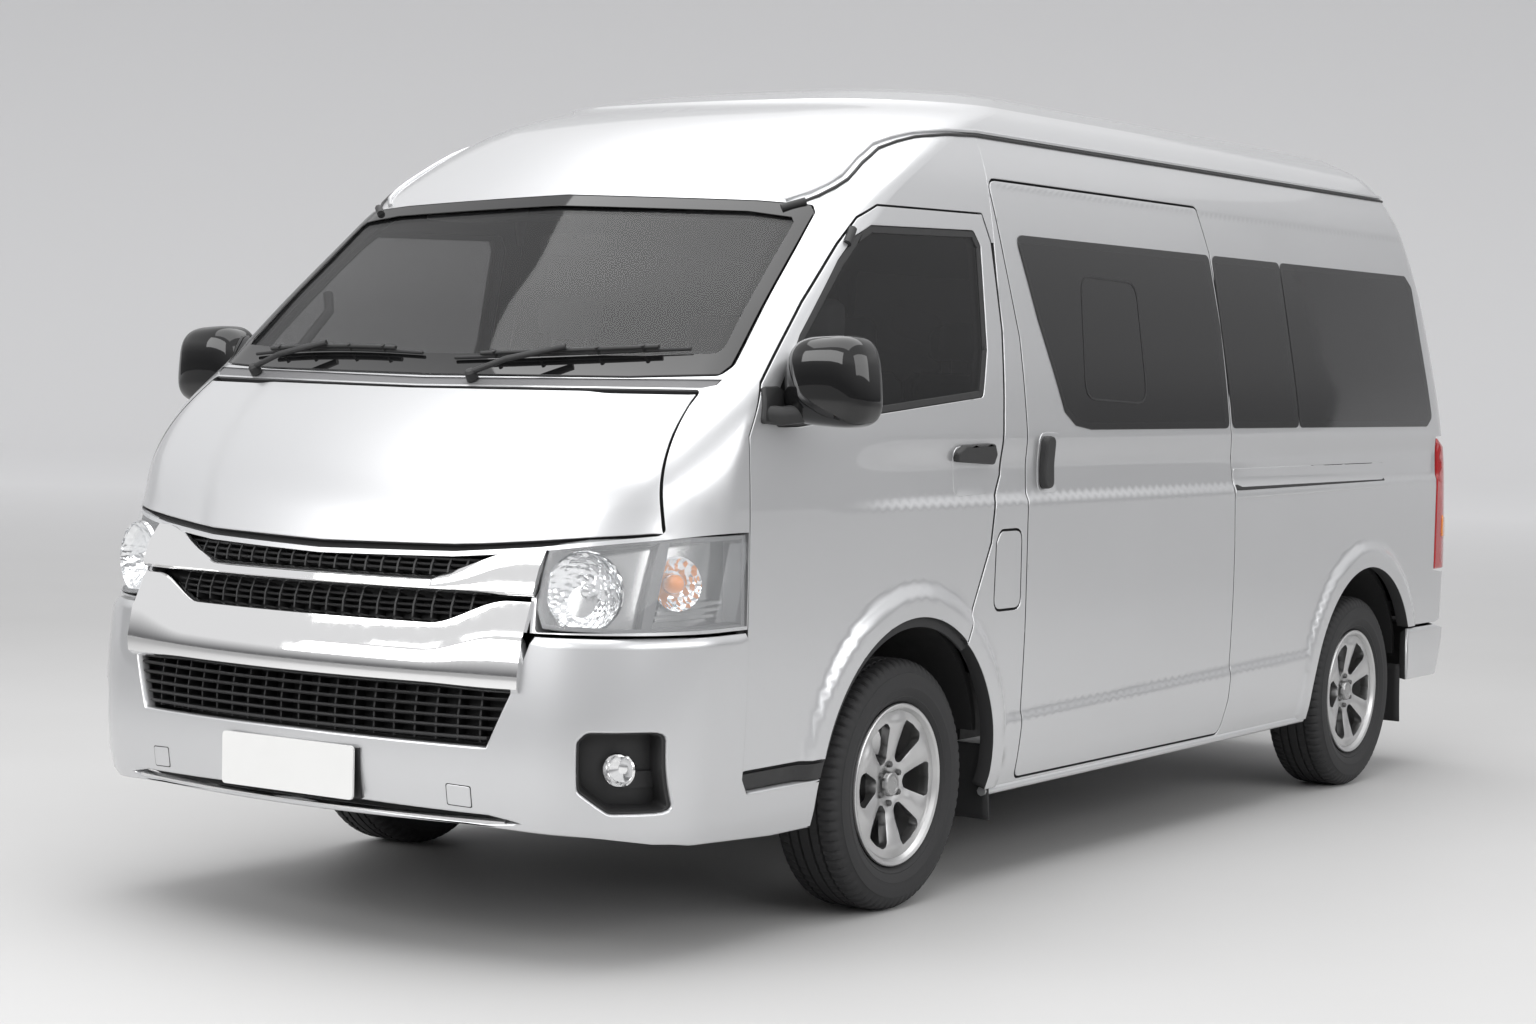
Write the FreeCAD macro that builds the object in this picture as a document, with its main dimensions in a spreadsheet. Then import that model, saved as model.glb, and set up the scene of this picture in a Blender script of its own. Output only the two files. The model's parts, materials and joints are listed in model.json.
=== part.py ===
import FreeCAD
import Part
import math
import os
import Sketcher
from FreeCAD import Placement, Rotation, Vector

# High-roof passenger van. Millimetres, +Z up, nose towards -Y, left-hand side towards +X.
# The origin is on the ground, under the middle of the overall box.

doc = FreeCAD.newDocument("HighRoofVan")
sheet = doc.addObject("Spreadsheet::Sheet", "Car")

SIZES = [
    ("overall_height", 2285, "ground to the crown of the roof"),
    ("wheel_base", 3110, "front axle to rear axle"),
    ("front_axle_y", -1325, "front axle, from the origin"),
    ("wheel_x", 812, "middle plane of each wheel"),
    ("tyre_radius", 336, "also the height of both axles"),
    ("tyre_half_width", 103, "widest part of the tyre"),
    ("hood_thick", 16, "hood from its outer skin to its inner frame"),
    ("rim_seat", 204, "radius where the tyre sits on the rim"),
    ("rim_lip", 216, "radius of the rim's edge"),
    ("arch_radius", 446, "wheel arch cut in the body sides"),
    ("wall", 50, "thickness of doors and body walls"),
    ("door_gap", 6, "gap round every panel that moves"),
    ("glass_depth", 6, "outer skin to the face of the glass"),
    ("glass_thick", 5, "thickness of every pane"),
    ("floor_top", 640, "passenger floor"),
    ("floor_thick", 40, "thickness of the floor plates"),
    ("seat_deck", 806, "underside of the raised deck over the front wheels"),
    ("footwell_top", 480, "floor in front of the front seats"),
    ("rail_inner", 430, "inner face of each chassis rail"),
    ("rail_outer", 500, "outer face of each chassis rail"),
    ("rail_bottom", 440, "underside of the chassis rails"),
    ("kingpin_x", 700, "steering axis of each front wheel"),
    ("spindle_radius", 25, "stub axle that carries a wheel"),
    ("disc_radius", 130, "brake disc"),
    ("axle_tube", 45, "radius of the rear axle tube"),
    ("diff_radius", 108, "rear differential housing"),
    ("spring_x", 560, "middle of each leaf spring"),
    ("column_x", -385, "steering column, from the middle of the van"),
    ("column_y", -1735, "centre of the steering wheel"),
    ("column_z", 1185, "centre of the steering wheel"),
    ("column_tilt", 48, "degrees that the column leans back from upright"),
    ("hand_wheel", 190, "radius of the steering wheel"),
    ("seat_width", 480, "width of one seat"),
    ("spare_y", 2240, "centre of the spare wheel under the tail"),
    ("plate_width", 432, "number plate"),
    ("plate_height", 130, "number plate"),
]
for row, (alias, value, note) in enumerate(SIZES, 1):
    sheet.set(f"A{row}", note)
    sheet.set(f"B{row}", str(value))
    sheet.setAlias(f"B{row}", alias)
doc.recompute()

nodes = {}


def size(alias):
    """A driving dimension as a number."""
    return float(sheet.get(alias))


def node(label, obj):
    """Name an object as one piece of the van."""
    obj.Label = label
    nodes[label] = obj
    return obj


def bind_place(obj, place):
    """Bind the three coordinates of an object's placement."""
    for axis, value in zip("xyz", place):
        obj.setExpression(f"Placement.Base.{axis}", str(value))


def box(x, y, z):
    """A block between two values on each axis."""
    obj = doc.addObject("Part::Box", "Block")
    for prop, (low, high) in zip(("Length", "Width", "Height"), (x, y, z)):
        obj.setExpression(prop, f"({high}) - ({low})")
    bind_place(obj, (x[0], y[0], z[0]))
    return obj


TURNS = {"x": Rotation(Vector(0, 1, 0), 90), "y": Rotation(Vector(1, 0, 0), -90), "z": Rotation()}


def rod(axis, radius, start, length):
    """A cylinder along one axis from its starting point."""
    obj = doc.addObject("Part::Cylinder", "Rod")
    obj.setExpression("Radius", str(radius))
    obj.setExpression("Height", str(length))
    obj.Placement = Placement(Vector(), TURNS[axis])
    bind_place(obj, start)
    return obj


def fuse(*shapes):
    obj = doc.addObject("Part::MultiFuse", "Union")
    obj.Shapes = list(shapes)
    return obj


def common(*shapes):
    obj = doc.addObject("Part::MultiCommon", "Overlap")
    obj.Shapes = list(shapes)
    return obj


def cut(base, *tools):
    obj = doc.addObject("Part::Cut", "Remainder")
    obj.Base = base
    obj.Tool = tools[0] if len(tools) == 1 else fuse(*tools)
    return obj


def group(*shapes):
    """Solids that stay apart but belong to one piece."""
    obj = doc.addObject("Part::Compound", "Set")
    obj.Links = list(shapes)
    return obj


def mirrored(source):
    """The same piece on the other side of the van."""
    obj = doc.addObject("Part::Mirroring", "Mirror")
    obj.Source = source
    obj.Normal = Vector(1, 0, 0)
    return obj



def code_shape(shape):
    """A free-form piece: its shape comes from the section curves below."""
    obj = doc.addObject("Part::Feature", "Form")
    obj.Shape = shape
    obj.Placement = Placement()
    return obj


# ---------------------------------------------------------------- body sections
# Horizontal sections through the body: height, half width, nose on the centre line,
# tail on the centre line, depth of the nose's bow at one metre out, radius of the
# front corners and radius of the rear corners. ROUND is the Bezier share of a quarter circle.
SECTIONS = [
    (240, 885, -2610, 2625, 200, 250, 120),
    (340, 915, -2668, 2672, 200, 252, 122),
    (500, 932, -2690, 2690, 200, 256, 124),
    (800, 940, -2660, 2688, 200, 262, 126),
    (1050, 940, -2572, 2674, 190, 255, 128),
    (1150, 937, -2516, 2664, 175, 215, 122),
    (1250, 932, -2424, 2652, 160, 175, 125),
    (1330, 925, -2322, 2642, 150, 145, 130),
    (1410, 917, -2205, 2628, 142, 135, 138),
    (1600, 893, -1990, 2592, 148, 145, 155),
    (1750, 873, -1815, 2556, 154, 158, 170),
    (1890, 852, -1652, 2504, 160, 180, 190),
    (2000, 830, -1515, 2456, 200, 245, 210),
    (2100, 795, -1355, 2405, 240, 325, 260),
    (2160, 765, -1180, 2354, 250, 355, 305),
    (2200, 725, -1050, 2306, 250, 370, 340),
    (2235, 655, -890, 2235, 250, 330, 330),
    (2260, 555, -720, 2145, 250, 290, 290),
    (2277, 400, -490, 2020, 250, 240, 240),
    (2285, 220, -100, 1900, 250, 180, 180),
]
SKIN_BELOW = 200
FRONT_STRETCH = 1.0
REAR_BOW = 85
ROUND = 0.5523
STEEPEST = 4
SMALLEST_CORNER = 60
CROWN_ROWS = 5


def smooth(column, height):
    """Monotone cubic curve through one column of the section table."""
    points = [(row[0], row[column]) for row in SECTIONS]
    height = min(max(height, points[0][0]), points[-1][0])
    slopes = [(b[1] - a[1]) / (b[0] - a[0]) for a, b in zip(points, points[1:])]

    def tangent(i):
        if i in (0, len(points) - 1):
            return slopes[min(i, len(slopes) - 1)]
        before, after = slopes[i - 1], slopes[i]
        return 0 if before * after <= 0 else 2 * before * after / (before + after)

    i = next(k for k in range(len(slopes)) if height <= points[k + 1][0])
    step = points[i + 1][0] - points[i][0]
    u = (height - points[i][0]) / step
    return ((1 + 2 * u) * (1 - u) ** 2 * points[i][1] + u * (1 - u) ** 2 * step * tangent(i)
            + u * u * (3 - 2 * u) * points[i + 1][1] + u * u * (u - 1) * step * tangent(i + 1))


def slant(column, height):
    """How much further a wall reaches level when it leans."""
    rise = 4
    low, high = smooth(column, height - rise), smooth(column, height + rise)
    return math.hypot(1, (high - low) / (2 * rise))


def bezier(*poles):
    """One edge of a section from its poles."""
    curve = Part.BezierCurve()
    curve.setPoles([Vector(*pole) for pole in poles])
    return curve.toShape()


def towards(a, b, share):
    return tuple(p + (q - p) * share for p, q in zip(a, b))


def quarter_turn(start, corner, end):
    """Quarter of an ellipse that leaves and arrives along the two sides of its corner."""
    return bezier(start, towards(start, corner, ROUND), towards(end, corner, ROUND), end)


def bowed(start, end, depth):
    """Shallow parabola between two points that bulges by the depth at its middle."""
    middle = towards(start, end, 0.5)
    return bezier(start, (middle[0], middle[1] - 2 * depth, middle[2]), end)


def section_wire(height, inset):
    """Closed section at one height, moved inwards by the inset: nose, corners, sides and tail."""
    lean = {column: min(slant(column, height), STEEPEST) for column in (1, 2, 3)}
    half = smooth(1, height) - inset * lean[1]
    nose = smooth(2, height) + inset * lean[2]
    tail = smooth(3, height) - inset * lean[3]
    bow = smooth(4, height) / 1e6
    front = max(smooth(5, height) - inset, SMALLEST_CORNER)
    rear = max(smooth(6, height) - inset, SMALLEST_CORNER)
    straight = half - front
    flat = half - rear
    nose_sag = bow * straight ** 2
    tail_sag = REAR_BOW * (flat / 1000) ** 2
    nose_end = nose + nose_sag
    tail_end = tail - tail_sag
    turn_y = nose_end + 2 * bow * straight * front
    side_front = turn_y + FRONT_STRETCH * front
    right = [
        quarter_turn((straight, nose_end, height), (half, turn_y, height), (half, side_front, height)),
        bezier((half, side_front, height), (half, tail_end - rear, height)),
        quarter_turn((half, tail_end - rear, height), (half, tail_end, height), (flat, tail_end, height))]
    left = [
        quarter_turn((-flat, tail_end, height), (-half, tail_end, height), (-half, tail_end - rear, height)),
        bezier((-half, tail_end - rear, height), (-half, side_front, height)),
        quarter_turn((-half, side_front, height), (-half, turn_y, height), (-straight, nose_end, height))]
    nose_edge = bowed((-straight, nose_end, height), (straight, nose_end, height), nose_sag)
    tail_edge = bowed((flat, tail_end, height), (-flat, tail_end, height), -tail_sag)
    return Part.Wire([nose_edge] + right + [tail_edge] + left)


def envelope(inset, bottom=None):
    """Solid of the whole body, shrunk by the inset on every side but the bottom."""
    top = size("overall_height") - inset
    scale = top / size("overall_height")
    heights = [row[0] * scale for row in SECTIONS]
    wires = [section_wire(h, inset) for h in heights]
    shoulder = len(wires) - CROWN_ROWS
    sides = Part.makeLoft(wires[:shoulder + 1], True, False)
    crown = Part.makeLoft(wires[shoulder:], True, True)
    body = sides.fuse(crown)
    if bottom is not None:
        foot = section_wire(heights[0], inset)
        foot.translate(Vector(0, 0, bottom - heights[0]))
        body = body.fuse(Part.makeLoft([foot, wires[0]], True, True))
    return body


outer = envelope(0)
shell = outer.cut(envelope(size("wall"), bottom=SKIN_BELOW))
pane_face = size("glass_depth")
pane_layer = envelope(pane_face).cut(envelope(pane_face + size("glass_thick"), bottom=SKIN_BELOW))
cabin = code_shape(envelope(size("wall") + 3, bottom=SKIN_BELOW))


# ---------------------------------------------------------------- outlines
SIDE_DEPTH = 740


def face_of(points):
    return Part.Face(Part.makePolygon(points + points[:1]))


def eased(face, radius, grow=0):
    """Round an outline's outward corners and move its edge out or in."""
    inner = face.makeOffset2D(-radius)
    return inner.makeOffset2D(radius + grow)


def side_prism(points, radius=0, grow=0, start=SIDE_DEPTH, reach=500):
    """Block whose side view is the outline of (y, z) points, on the left-hand side."""
    face = face_of([Vector(start, y, z) for y, z in points])
    if radius:
        face = eased(face, radius, grow)
    return face.extrude(Vector(reach, 0, 0))


def front_prism(points, radius=0, grow=0, start=-2900, reach=1900):
    """Block whose front view is the outline of (x, z) points."""
    face = face_of([Vector(x, start, z) for x, z in points])
    if radius:
        face = eased(face, radius, grow)
    return face.extrude(Vector(0, reach, 0))


def slab(x, y, z):
    """Plain block used only to divide the shell."""
    return Part.makeBox(x[1] - x[0], y[1] - y[0], z[1] - z[0], Vector(x[0], y[0], z[0]))


def mirror_points(points):
    """Outline closed by its own mirror image."""
    return points + [(-x, z) for x, z in reversed(points) if x]


FRONT_DOOR = [(-2112, 450), (-2112, 1270), (-2090, 1304), (-2030, 1401), (-1918, 1504),
              (-1806, 1606), (-1616, 1761), (-1515, 1835), (-1425, 1872), (-875, 1881),
              (-838, 1800), (-822, 1557), (-840, 1369), (-866, 1154), (-905, 1080),
              (-924, 967), (-1072, 702), (-1760, 450)]
FRONT_WINDOW = [(-2012, 1327), (-1852, 1520), (-1635, 1717), (-1545, 1784), (-1468, 1815),
                (-930, 1830), (-900, 1790), (-915, 1500), (-955, 1370), (-1890, 1292), (-1985, 1293)]
SLIDING_DOOR = [(-712, 296), (-712, 1300), (-720, 1540), (-769, 1755), (-816, 1976),
                (520, 1976), (578, 1837), (620, 1593), (635, 1278), (660, 1090),
                (670, 900), (670, 400), (638, 296)]
SLIDING_WINDOW = [(-700, 1830), (-612, 1595), (-489, 1330), (-425, 1293), (-330, 1278),
                  (595, 1278), (578, 1593), (545, 1830)]
REAR_WINDOWS = [[(690, 1278), (1125, 1278), (1070, 1828), (640, 1828)],
                [(1190, 1278), (2345, 1278), (2400, 1310), (2300, 1790), (2245, 1828), (1135, 1828)]]
RIGHT_WINDOW = [(-700, 1278), (615, 1278), (565, 1828), (-700, 1828)]
GUTTER = [(-1640, 1845), (-1450, 1935), (-1268, 2031), (-1114, 2073), (-824, 2099),
          (2290, 2100), (2700, 2092)]
FUEL_LID = [(-897, 782), (-752, 782), (-752, 998), (-897, 998)]
WINDSCREEN = mirror_points([(0, 1398), (600, 1404), (830, 1414), (842, 1440), (773, 1840),
                            (755, 1862), (600, 1874), (0, 1896)])
HOOD = mirror_points([(0, 972), (400, 982), (614, 1001), (870, 1036), (836, 1236), (818, 1340),
                      (816, 1380), (0, 1372)])
COWL = mirror_points([(0, 1376), (812, 1384), (838, 1392), (840, 1406), (600, 1402), (0, 1394)])
GRILLE = mirror_points([(0, 536), (560, 530), (612, 660), (640, 800), (612, 988), (400, 970), (0, 960)])
HEADLAMP = [(652, 805), (960, 812), (960, 1042), (872, 1026), (625, 992)]
FOG_LAMP = [(790, 420), (960, 420), (960, 600), (860, 600)]
TAILGATE = mirror_points([(0, 556), (770, 556), (800, 600), (800, 1300), (770, 1600), (735, 1900),
                          (690, 2062), (0, 2075)])
TAIL_WINDOW = mirror_points([(0, 1300), (700, 1306), (716, 1340), (650, 1800), (620, 1830), (0, 1842)])
TAIL_LAMP = [(812, 740), (960, 740), (960, 1240), (812, 1240)]
BUMPER_TOP = 802
BUMPER_FOOT = 345
DOOR_FRONT = -2116
TAIL_FLOOR = 545
PLATE_FACE = -2690
FAR = 3000

gap = size("door_gap")
arch = size("arch_radius")
axle_z = size("tyre_radius")
front_axle = size("front_axle_y")
rear_axle = front_axle + size("wheel_base")
arches = [Part.makeCylinder(arch, 2 * FAR, Vector(-FAR, y, axle_z), Vector(1, 0, 0))
          for y in (front_axle, rear_axle)]

roof_region = side_prism(GUTTER + [(2700, 2400), (-1640, 2400)], start=-1200, reach=2400)
below_roof = shell.cut(roof_region)
nose_part = below_roof.common(slab((-FAR, FAR), (-FAR, -823), (BUMPER_FOOT, 2400)))
door_holes = [side_prism(FRONT_DOOR, 12, 0.5), side_prism(FRONT_DOOR, 12, 0.5, -SIDE_DEPTH - 500)]
screen_hole = front_prism(WINDSCREEN, 20, 0.2, reach=1500)
hood_hole = front_prism(HOOD, 16, 0.2, reach=900)
grille_hole = front_prism(GRILLE, 10, 0.2)
lamp_holes = [front_prism(HEADLAMP, 10, 0.2, reach=784),
              front_prism([(-x, z) for x, z in HEADLAMP], 10, 0.2, reach=784)]
nose_top = slab((-FAR, FAR), (-FAR, FAR), (BUMPER_TOP + 1, 2400))
bumper_zone = slab((-FAR, FAR), (-FAR, DOOR_FRONT), (BUMPER_FOOT, BUMPER_TOP))


# ---------------------------------------------------------------- body panels
def wipers():
    """Two parked blades on their arms, lying just clear of the glass."""
    blades = []
    for x, y, turn in ((-640, -2036, -5.8), (60, -2093, 5.4)):
        blade = box((x, x + 560), (y - 6, y + 6), (1425, 1440))
        blade.Placement = Placement(Vector(x, y, 1425), Rotation(Vector(0, 0, 1), turn))
        blades.append(blade)
    return blades


def number_plate(y, z):
    """Flat plate and the pad behind it, from its first face and its foot."""
    half_width = size("plate_width") / 2
    return slab((-half_width, half_width), (y, y + 30), (z, z + size("plate_height")))


def body_panels():
    """Fixed panels of the body, cut from the shell."""
    frame = nose_part.common(nose_top)
    for tool in door_holes + lamp_holes + arches + [screen_hole, hood_hole, grille_hole,
                                                    front_prism(COWL)]:
        frame = frame.cut(tool)
    frame = frame.cut(slab((-FAR, FAR), (-1150, FAR), (0, 1800)))
    node("nose_frame", code_shape(frame))
    node("roof_panel", code_shape(shell.common(roof_region).cut(screen_hole).cut(tail_hole)))
    cowl = shell.common(front_prism(COWL)).common(nose_top)
    for tool in door_holes:
        cowl = cowl.cut(tool)
    node("cowl_panel", group(code_shape(cowl), *wipers()))
    plate = number_plate(PLATE_FACE, 380)
    bumper = shell.common(bumper_zone).fuse(plate).cut(grille_hole)
    for tool in lamp_holes:
        bumper = bumper.cut(tool)
    for sign in (1, -1):
        bumper = bumper.cut(front_prism([(sign * x, z) for x, z in FOG_LAMP], 10))
    node("front_bumper", code_shape(bumper.cut(slab((-FAR, FAR), (-2140, FAR), (0, BUMPER_FOOT + 90)))))


def side_panels():
    """Side wall behind each front door, with the sill, pillar, arch and quarter."""
    wall = below_roof.common(slab((0, FAR), (-1150, FAR), (282, 2400)))
    wall = wall.cut(side_prism(FRONT_DOOR, 12, 0.5)).cut(nose_cut)
    for tool in arches + [tail_hole, tail_bumper_zone, tail_lamp_prism(1)]:
        wall = wall.cut(tool)
    for outline in REAR_WINDOWS:
        wall = wall.cut(side_prism(outline, 30))
    left = wall.cut(side_prism(SLIDING_DOOR, 20, gap)).cut(side_prism(FUEL_LID, 15, gap))
    right = wall.cut(side_prism(RIGHT_WINDOW, 30)).mirror(Vector(), Vector(1, 0, 0))
    node("left_side_panel", code_shape(left))
    node("right_side_panel", code_shape(right))


def tail_lamp_prism(side):
    """Corner of the tail taken by one lamp."""
    outline = [(side * x, z) for x, z in TAIL_LAMP]
    return front_prism(outline, 10, 0, 2440, 400)


tail_hole = front_prism(TAILGATE, 20, 0.2, 2150, 700)
tail_bumper_zone = slab((-FAR, FAR), (2160, FAR), (BUMPER_FOOT, TAIL_FLOOR))
nose_cut = slab((-FAR, FAR), (-1200, -823), (1800, 2400))
body_panels()
side_panels()
node("rear_bumper", code_shape(shell.common(tail_bumper_zone).cut(arches[1])))


def closures():
    """Doors, hood and tailgate: whole walls, with their windows cut."""
    door = shell.common(side_prism(FRONT_DOOR, 18, -gap)).cut(arches[0])
    door = door.cut(side_prism(FRONT_WINDOW, 25))
    node("front_door_left", code_shape(door))
    node("front_door_right", code_shape(door.mirror(Vector(), Vector(1, 0, 0))))
    slider = shell.common(side_prism(SLIDING_DOOR, 20)).cut(side_prism(SLIDING_WINDOW, 25))
    node("sliding_door", code_shape(slider))
    node("fuel_lid", code_shape(pane_layer_outer.common(side_prism(FUEL_LID, 15))))
    hood_layer = outer.cut(envelope(size("hood_thick"), bottom=SKIN_BELOW))
    node("hood", code_shape(hood_layer.common(front_prism(HOOD, 20, -gap, reach=900))))
    gate = shell.common(front_prism(TAILGATE, 26, -gap, 2150, 700))
    plate = number_plate(-PLATE_FACE - 30, 880)
    gate = gate.fuse(plate).cut(front_prism(TAIL_WINDOW, 25, 0, 2150, 700))
    node("tailgate", code_shape(gate))


def glazing():
    """Every pane, filling its opening."""
    node("windscreen", code_shape(pane_layer.common(front_prism(WINDSCREEN, 20, reach=1500))))
    node("tailgate_glass", code_shape(pane_layer.common(front_prism(TAIL_WINDOW, 25, 0, 2150, 700))))
    pane = pane_layer.common(side_prism(FRONT_WINDOW, 25))
    node("front_glass_left", code_shape(pane))
    node("front_glass_right", code_shape(pane.mirror(Vector(), Vector(1, 0, 0))))
    panes = [pane_layer.common(side_prism(outline, 30)) for outline in REAR_WINDOWS]
    right = [pane.mirror(Vector(), Vector(1, 0, 0)) for pane in panes]
    panes.append(pane_layer.common(side_prism(SLIDING_WINDOW, 25)))
    right.append(pane_layer.common(side_prism(RIGHT_WINDOW, 30)).mirror(Vector(), Vector(1, 0, 0)))
    node("side_windows", code_shape(Part.makeCompound(panes + right)))


def lamps_and_grille():
    """Lamps at both ends and the grille between the headlamps."""
    front = [shell.common(front_prism([(s * x, z) for x, z in HEADLAMP], 10, reach=780))
             for s in (1, -1)]
    fogs = [envelope_step.common(front_prism([(s * x, z) for x, z in FOG_LAMP], 10, -3, reach=760))
            for s in (1, -1)]
    node("front_lamps", code_shape(Part.makeCompound(front + fogs)))
    rear = [shell.common(tail_lamp_prism(s)).cut(tail_hole) for s in (1, -1)]
    node("tail_lamps", code_shape(Part.makeCompound(rear)))
    node("grille", code_shape(shell.common(front_prism(GRILLE, 10))))


pane_layer_outer = outer.cut(envelope(8, bottom=SKIN_BELOW))
envelope_step = envelope(12).cut(envelope(size("wall"), bottom=SKIN_BELOW))
closures()
glazing()
lamps_and_grille()


# ---------------------------------------------------------------- floor and chassis
AXLE_Z = "Car.tyre_radius"
FRONT_Y = "Car.front_axle_y"
REAR_Y = "Car.front_axle_y + Car.wheel_base"
DECK = "Car.seat_deck"


def wheel_house(inner_x, axle_y):
    """Curved liner and flat inner wall over one wheel."""
    liner_radius = "Car.arch_radius + 20"
    liner = rod("x", liner_radius, (inner_x, axle_y, AXLE_Z), f"1000 - {inner_x}")
    hollow = rod("x", "Car.arch_radius", (f"{inner_x} + 16", axle_y, AXLE_Z), 1000)
    top = box((inner_x, 1000), (f"{axle_y} - 480", f"{axle_y} + 480"), ("Car.rail_bottom", 1000))
    return common(cut(liner, hollow), top)


FLOOR_SEAMS = (-857, 1290)


def floor_pan():
    """Floor plates, raised front deck, footwell, bulkhead, rails and wheel houses."""
    thick = "Car.floor_thick"
    deck_top = f"{DECK} + {thick}"
    floor = box((-900, 900), (-870, 2600), (f"Car.floor_top - {thick}", "Car.floor_top"))
    deck = box((-900, 900), (-1800, -870), (DECK, deck_top))
    deck_front = box((-900, 900), (-1830, -1800), (f"Car.footwell_top - {thick}", deck_top))
    deck_rear = box((-900, 900), (-890, -860), (f"Car.floor_top - {thick}", deck_top))
    footwell = box((-880, 880), (-2440, -1800), (f"Car.footwell_top - {thick}", "Car.footwell_top"))
    bulkhead = box((-600, 600), (-2440, -2410), (f"Car.footwell_top - {thick}", 900))
    rail = box(("Car.rail_inner", "Car.rail_outer"), (-2400, 2540), ("Car.rail_bottom", 601))
    members = [box(("-Car.rail_outer", "Car.rail_outer"), (y, y + 60), (520, 601))
               for y in (-2300, -250, 750, 1500)]
    plates = [floor, deck, deck_front, deck_rear, footwell, bulkhead, rail, mirrored(rail)]
    hollows = []
    liners = []
    for inner_x, axle_y in ((508, FRONT_Y), (640, REAR_Y)):
        hollow = rod("x", "Car.arch_radius + 2", (f"{inner_x} + 8", axle_y, AXLE_Z), 1000)
        hollows += [hollow, mirrored(hollow)]
        liner = wheel_house(inner_x, axle_y)
        liners += [liner, mirrored(liner)]
    body = fuse(cut(fuse(*plates, *members), *hollows), *liners)
    seams = [box((-1000, 1000), (y, y + 1), (0, 2000)) for y in FLOOR_SEAMS]
    outside = box((-1000, 1000), (-3000, 3000), (0, 2000))
    return common(common(cut(body, *seams), outside), cabin)


node("floor_pan", floor_pan())


ARM_HEIGHTS = (187, 411)


def front_suspension():
    """Cross member and two arms a side, each ending in an eye round the knuckle's pin."""
    member = box((-430, 430), (f"{FRONT_Y} - 70", f"{FRONT_Y} + 70"), (170, 260))
    rack = rod("x", 28, (-330, f"{FRONT_Y} + 130", 240), 660)
    mount = box((-300, 300), (f"{FRONT_Y} + 60", f"{FRONT_Y} + 135"), (200, 250))
    parts = [member, rack, mount]
    for side in (1, -1):
        for low in ARM_HEIGHTS:
            arm = box((380, "Car.kingpin_x - 12"), (f"{FRONT_Y} - 35", f"{FRONT_Y} + 35"), (low, low + 24))
            eye = rod("z", 30, ("Car.kingpin_x", FRONT_Y, low), 24)
            bore = rod("z", 11.5, ("Car.kingpin_x", FRONT_Y, low - 5), 40)
            shape = cut(fuse(arm, eye), bore)
            parts.append(shape if side == 1 else mirrored(shape))
        post = box((380, 428), (f"{FRONT_Y} - 35", f"{FRONT_Y} + 35"), (ARM_HEIGHTS[0], 520))
        parts.append(post if side == 1 else mirrored(post))
    return fuse(*parts)


def rear_axle_set():
    """Axle tube with its differential, on two leaf springs hung from the rails."""
    tube = rod("x", "Car.axle_tube", (-700, REAR_Y, AXLE_Z), 1400)
    stub = rod("x", "Car.spindle_radius", ("0 - Car.wheel_x - 2", REAR_Y, AXLE_Z), "2 * Car.wheel_x + 4")
    ball = doc.addObject("Part::Sphere", "Differential")
    ball.setExpression("Radius", "Car.diff_radius")
    bind_place(ball, (0, REAR_Y, AXLE_Z))
    parts = [tube, stub, ball]
    leaf_radius = 2600
    sag = 262
    for side in (1, -1):
        far = rod("x", leaf_radius, ("Car.spring_x - 30", REAR_Y, f"{sag} + {leaf_radius}"), 60)
        near = rod("x", f"{leaf_radius} - 30", ("Car.spring_x - 31", REAR_Y, f"{sag} + {leaf_radius}"), 62)
        zone = box((400, 700), (f"{REAR_Y} - 610", f"{REAR_Y} + 610"), (200, 520))
        leaf = common(cut(far, near), zone)
        hangers = [box(("Car.rail_outer - 30", "Car.spring_x + 30"), (f"{REAR_Y} + {a}", f"{REAR_Y} + {b}"),
                       (330, 440)) for a, b in ((-640, -590), (590, 640))]
        clamp = box(("Car.spring_x - 40", "Car.spring_x + 40"),
                    (f"{REAR_Y} - 60", f"{REAR_Y} + 60"), (250, 300))
        half = fuse(leaf, clamp, *hangers)
        parts.append(half if side == 1 else mirrored(half))
    return fuse(*parts)


node("front_suspension", front_suspension())


# ---------------------------------------------------------------- wheels and knuckles
def sketch_on(body, role, name):
    """Empty sketch on one of a body's own origin planes."""
    sketch = body.newObject("Sketcher::SketchObject", name)
    plane = next(p for p in body.Origin.OriginFeatures if p.Role == role)
    sketch.AttachmentSupport = [(plane, "")]
    sketch.MapMode = "FlatFace"
    return sketch


def outline(sketch, points):
    """Closed polygon whose every corner is tied to the origin by two bound distances."""
    count = len(points)
    turn = 2 * math.pi / count
    ring = [Vector(200 + 90 * math.cos(k * turn), 200 + 90 * math.sin(k * turn), 0) for k in range(count)]
    for k in range(count):
        sketch.addGeometry(Part.LineSegment(ring[k], ring[(k + 1) % count]), False)
    for k in range(count):
        sketch.addConstraint(Sketcher.Constraint("Coincident", k, 2, (k + 1) % count, 1))
    for k, point in enumerate(points):
        for kind, expression in zip(("DistanceX", "DistanceY"), point):
            start = ring[k].x if kind == "DistanceX" else ring[k].y
            index = sketch.addConstraint(Sketcher.Constraint(kind, -1, 1, k, 1, start))
            sketch.setExpression(f"Constraints[{index}]", str(expression))


def revolved(body, name, points):
    """Revolution of an outline of (along the axle, radius) points round the body's X axis."""
    sketch = sketch_on(body, "XY_Plane", name + "Sketch")
    outline(sketch, points)
    feature = body.newObject("PartDesign::Revolution", name)
    feature.Profile = sketch
    feature.ReferenceAxis = (sketch, ["H_Axis"])
    feature.Angle = 360
    doc.recompute()
    return feature


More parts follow.
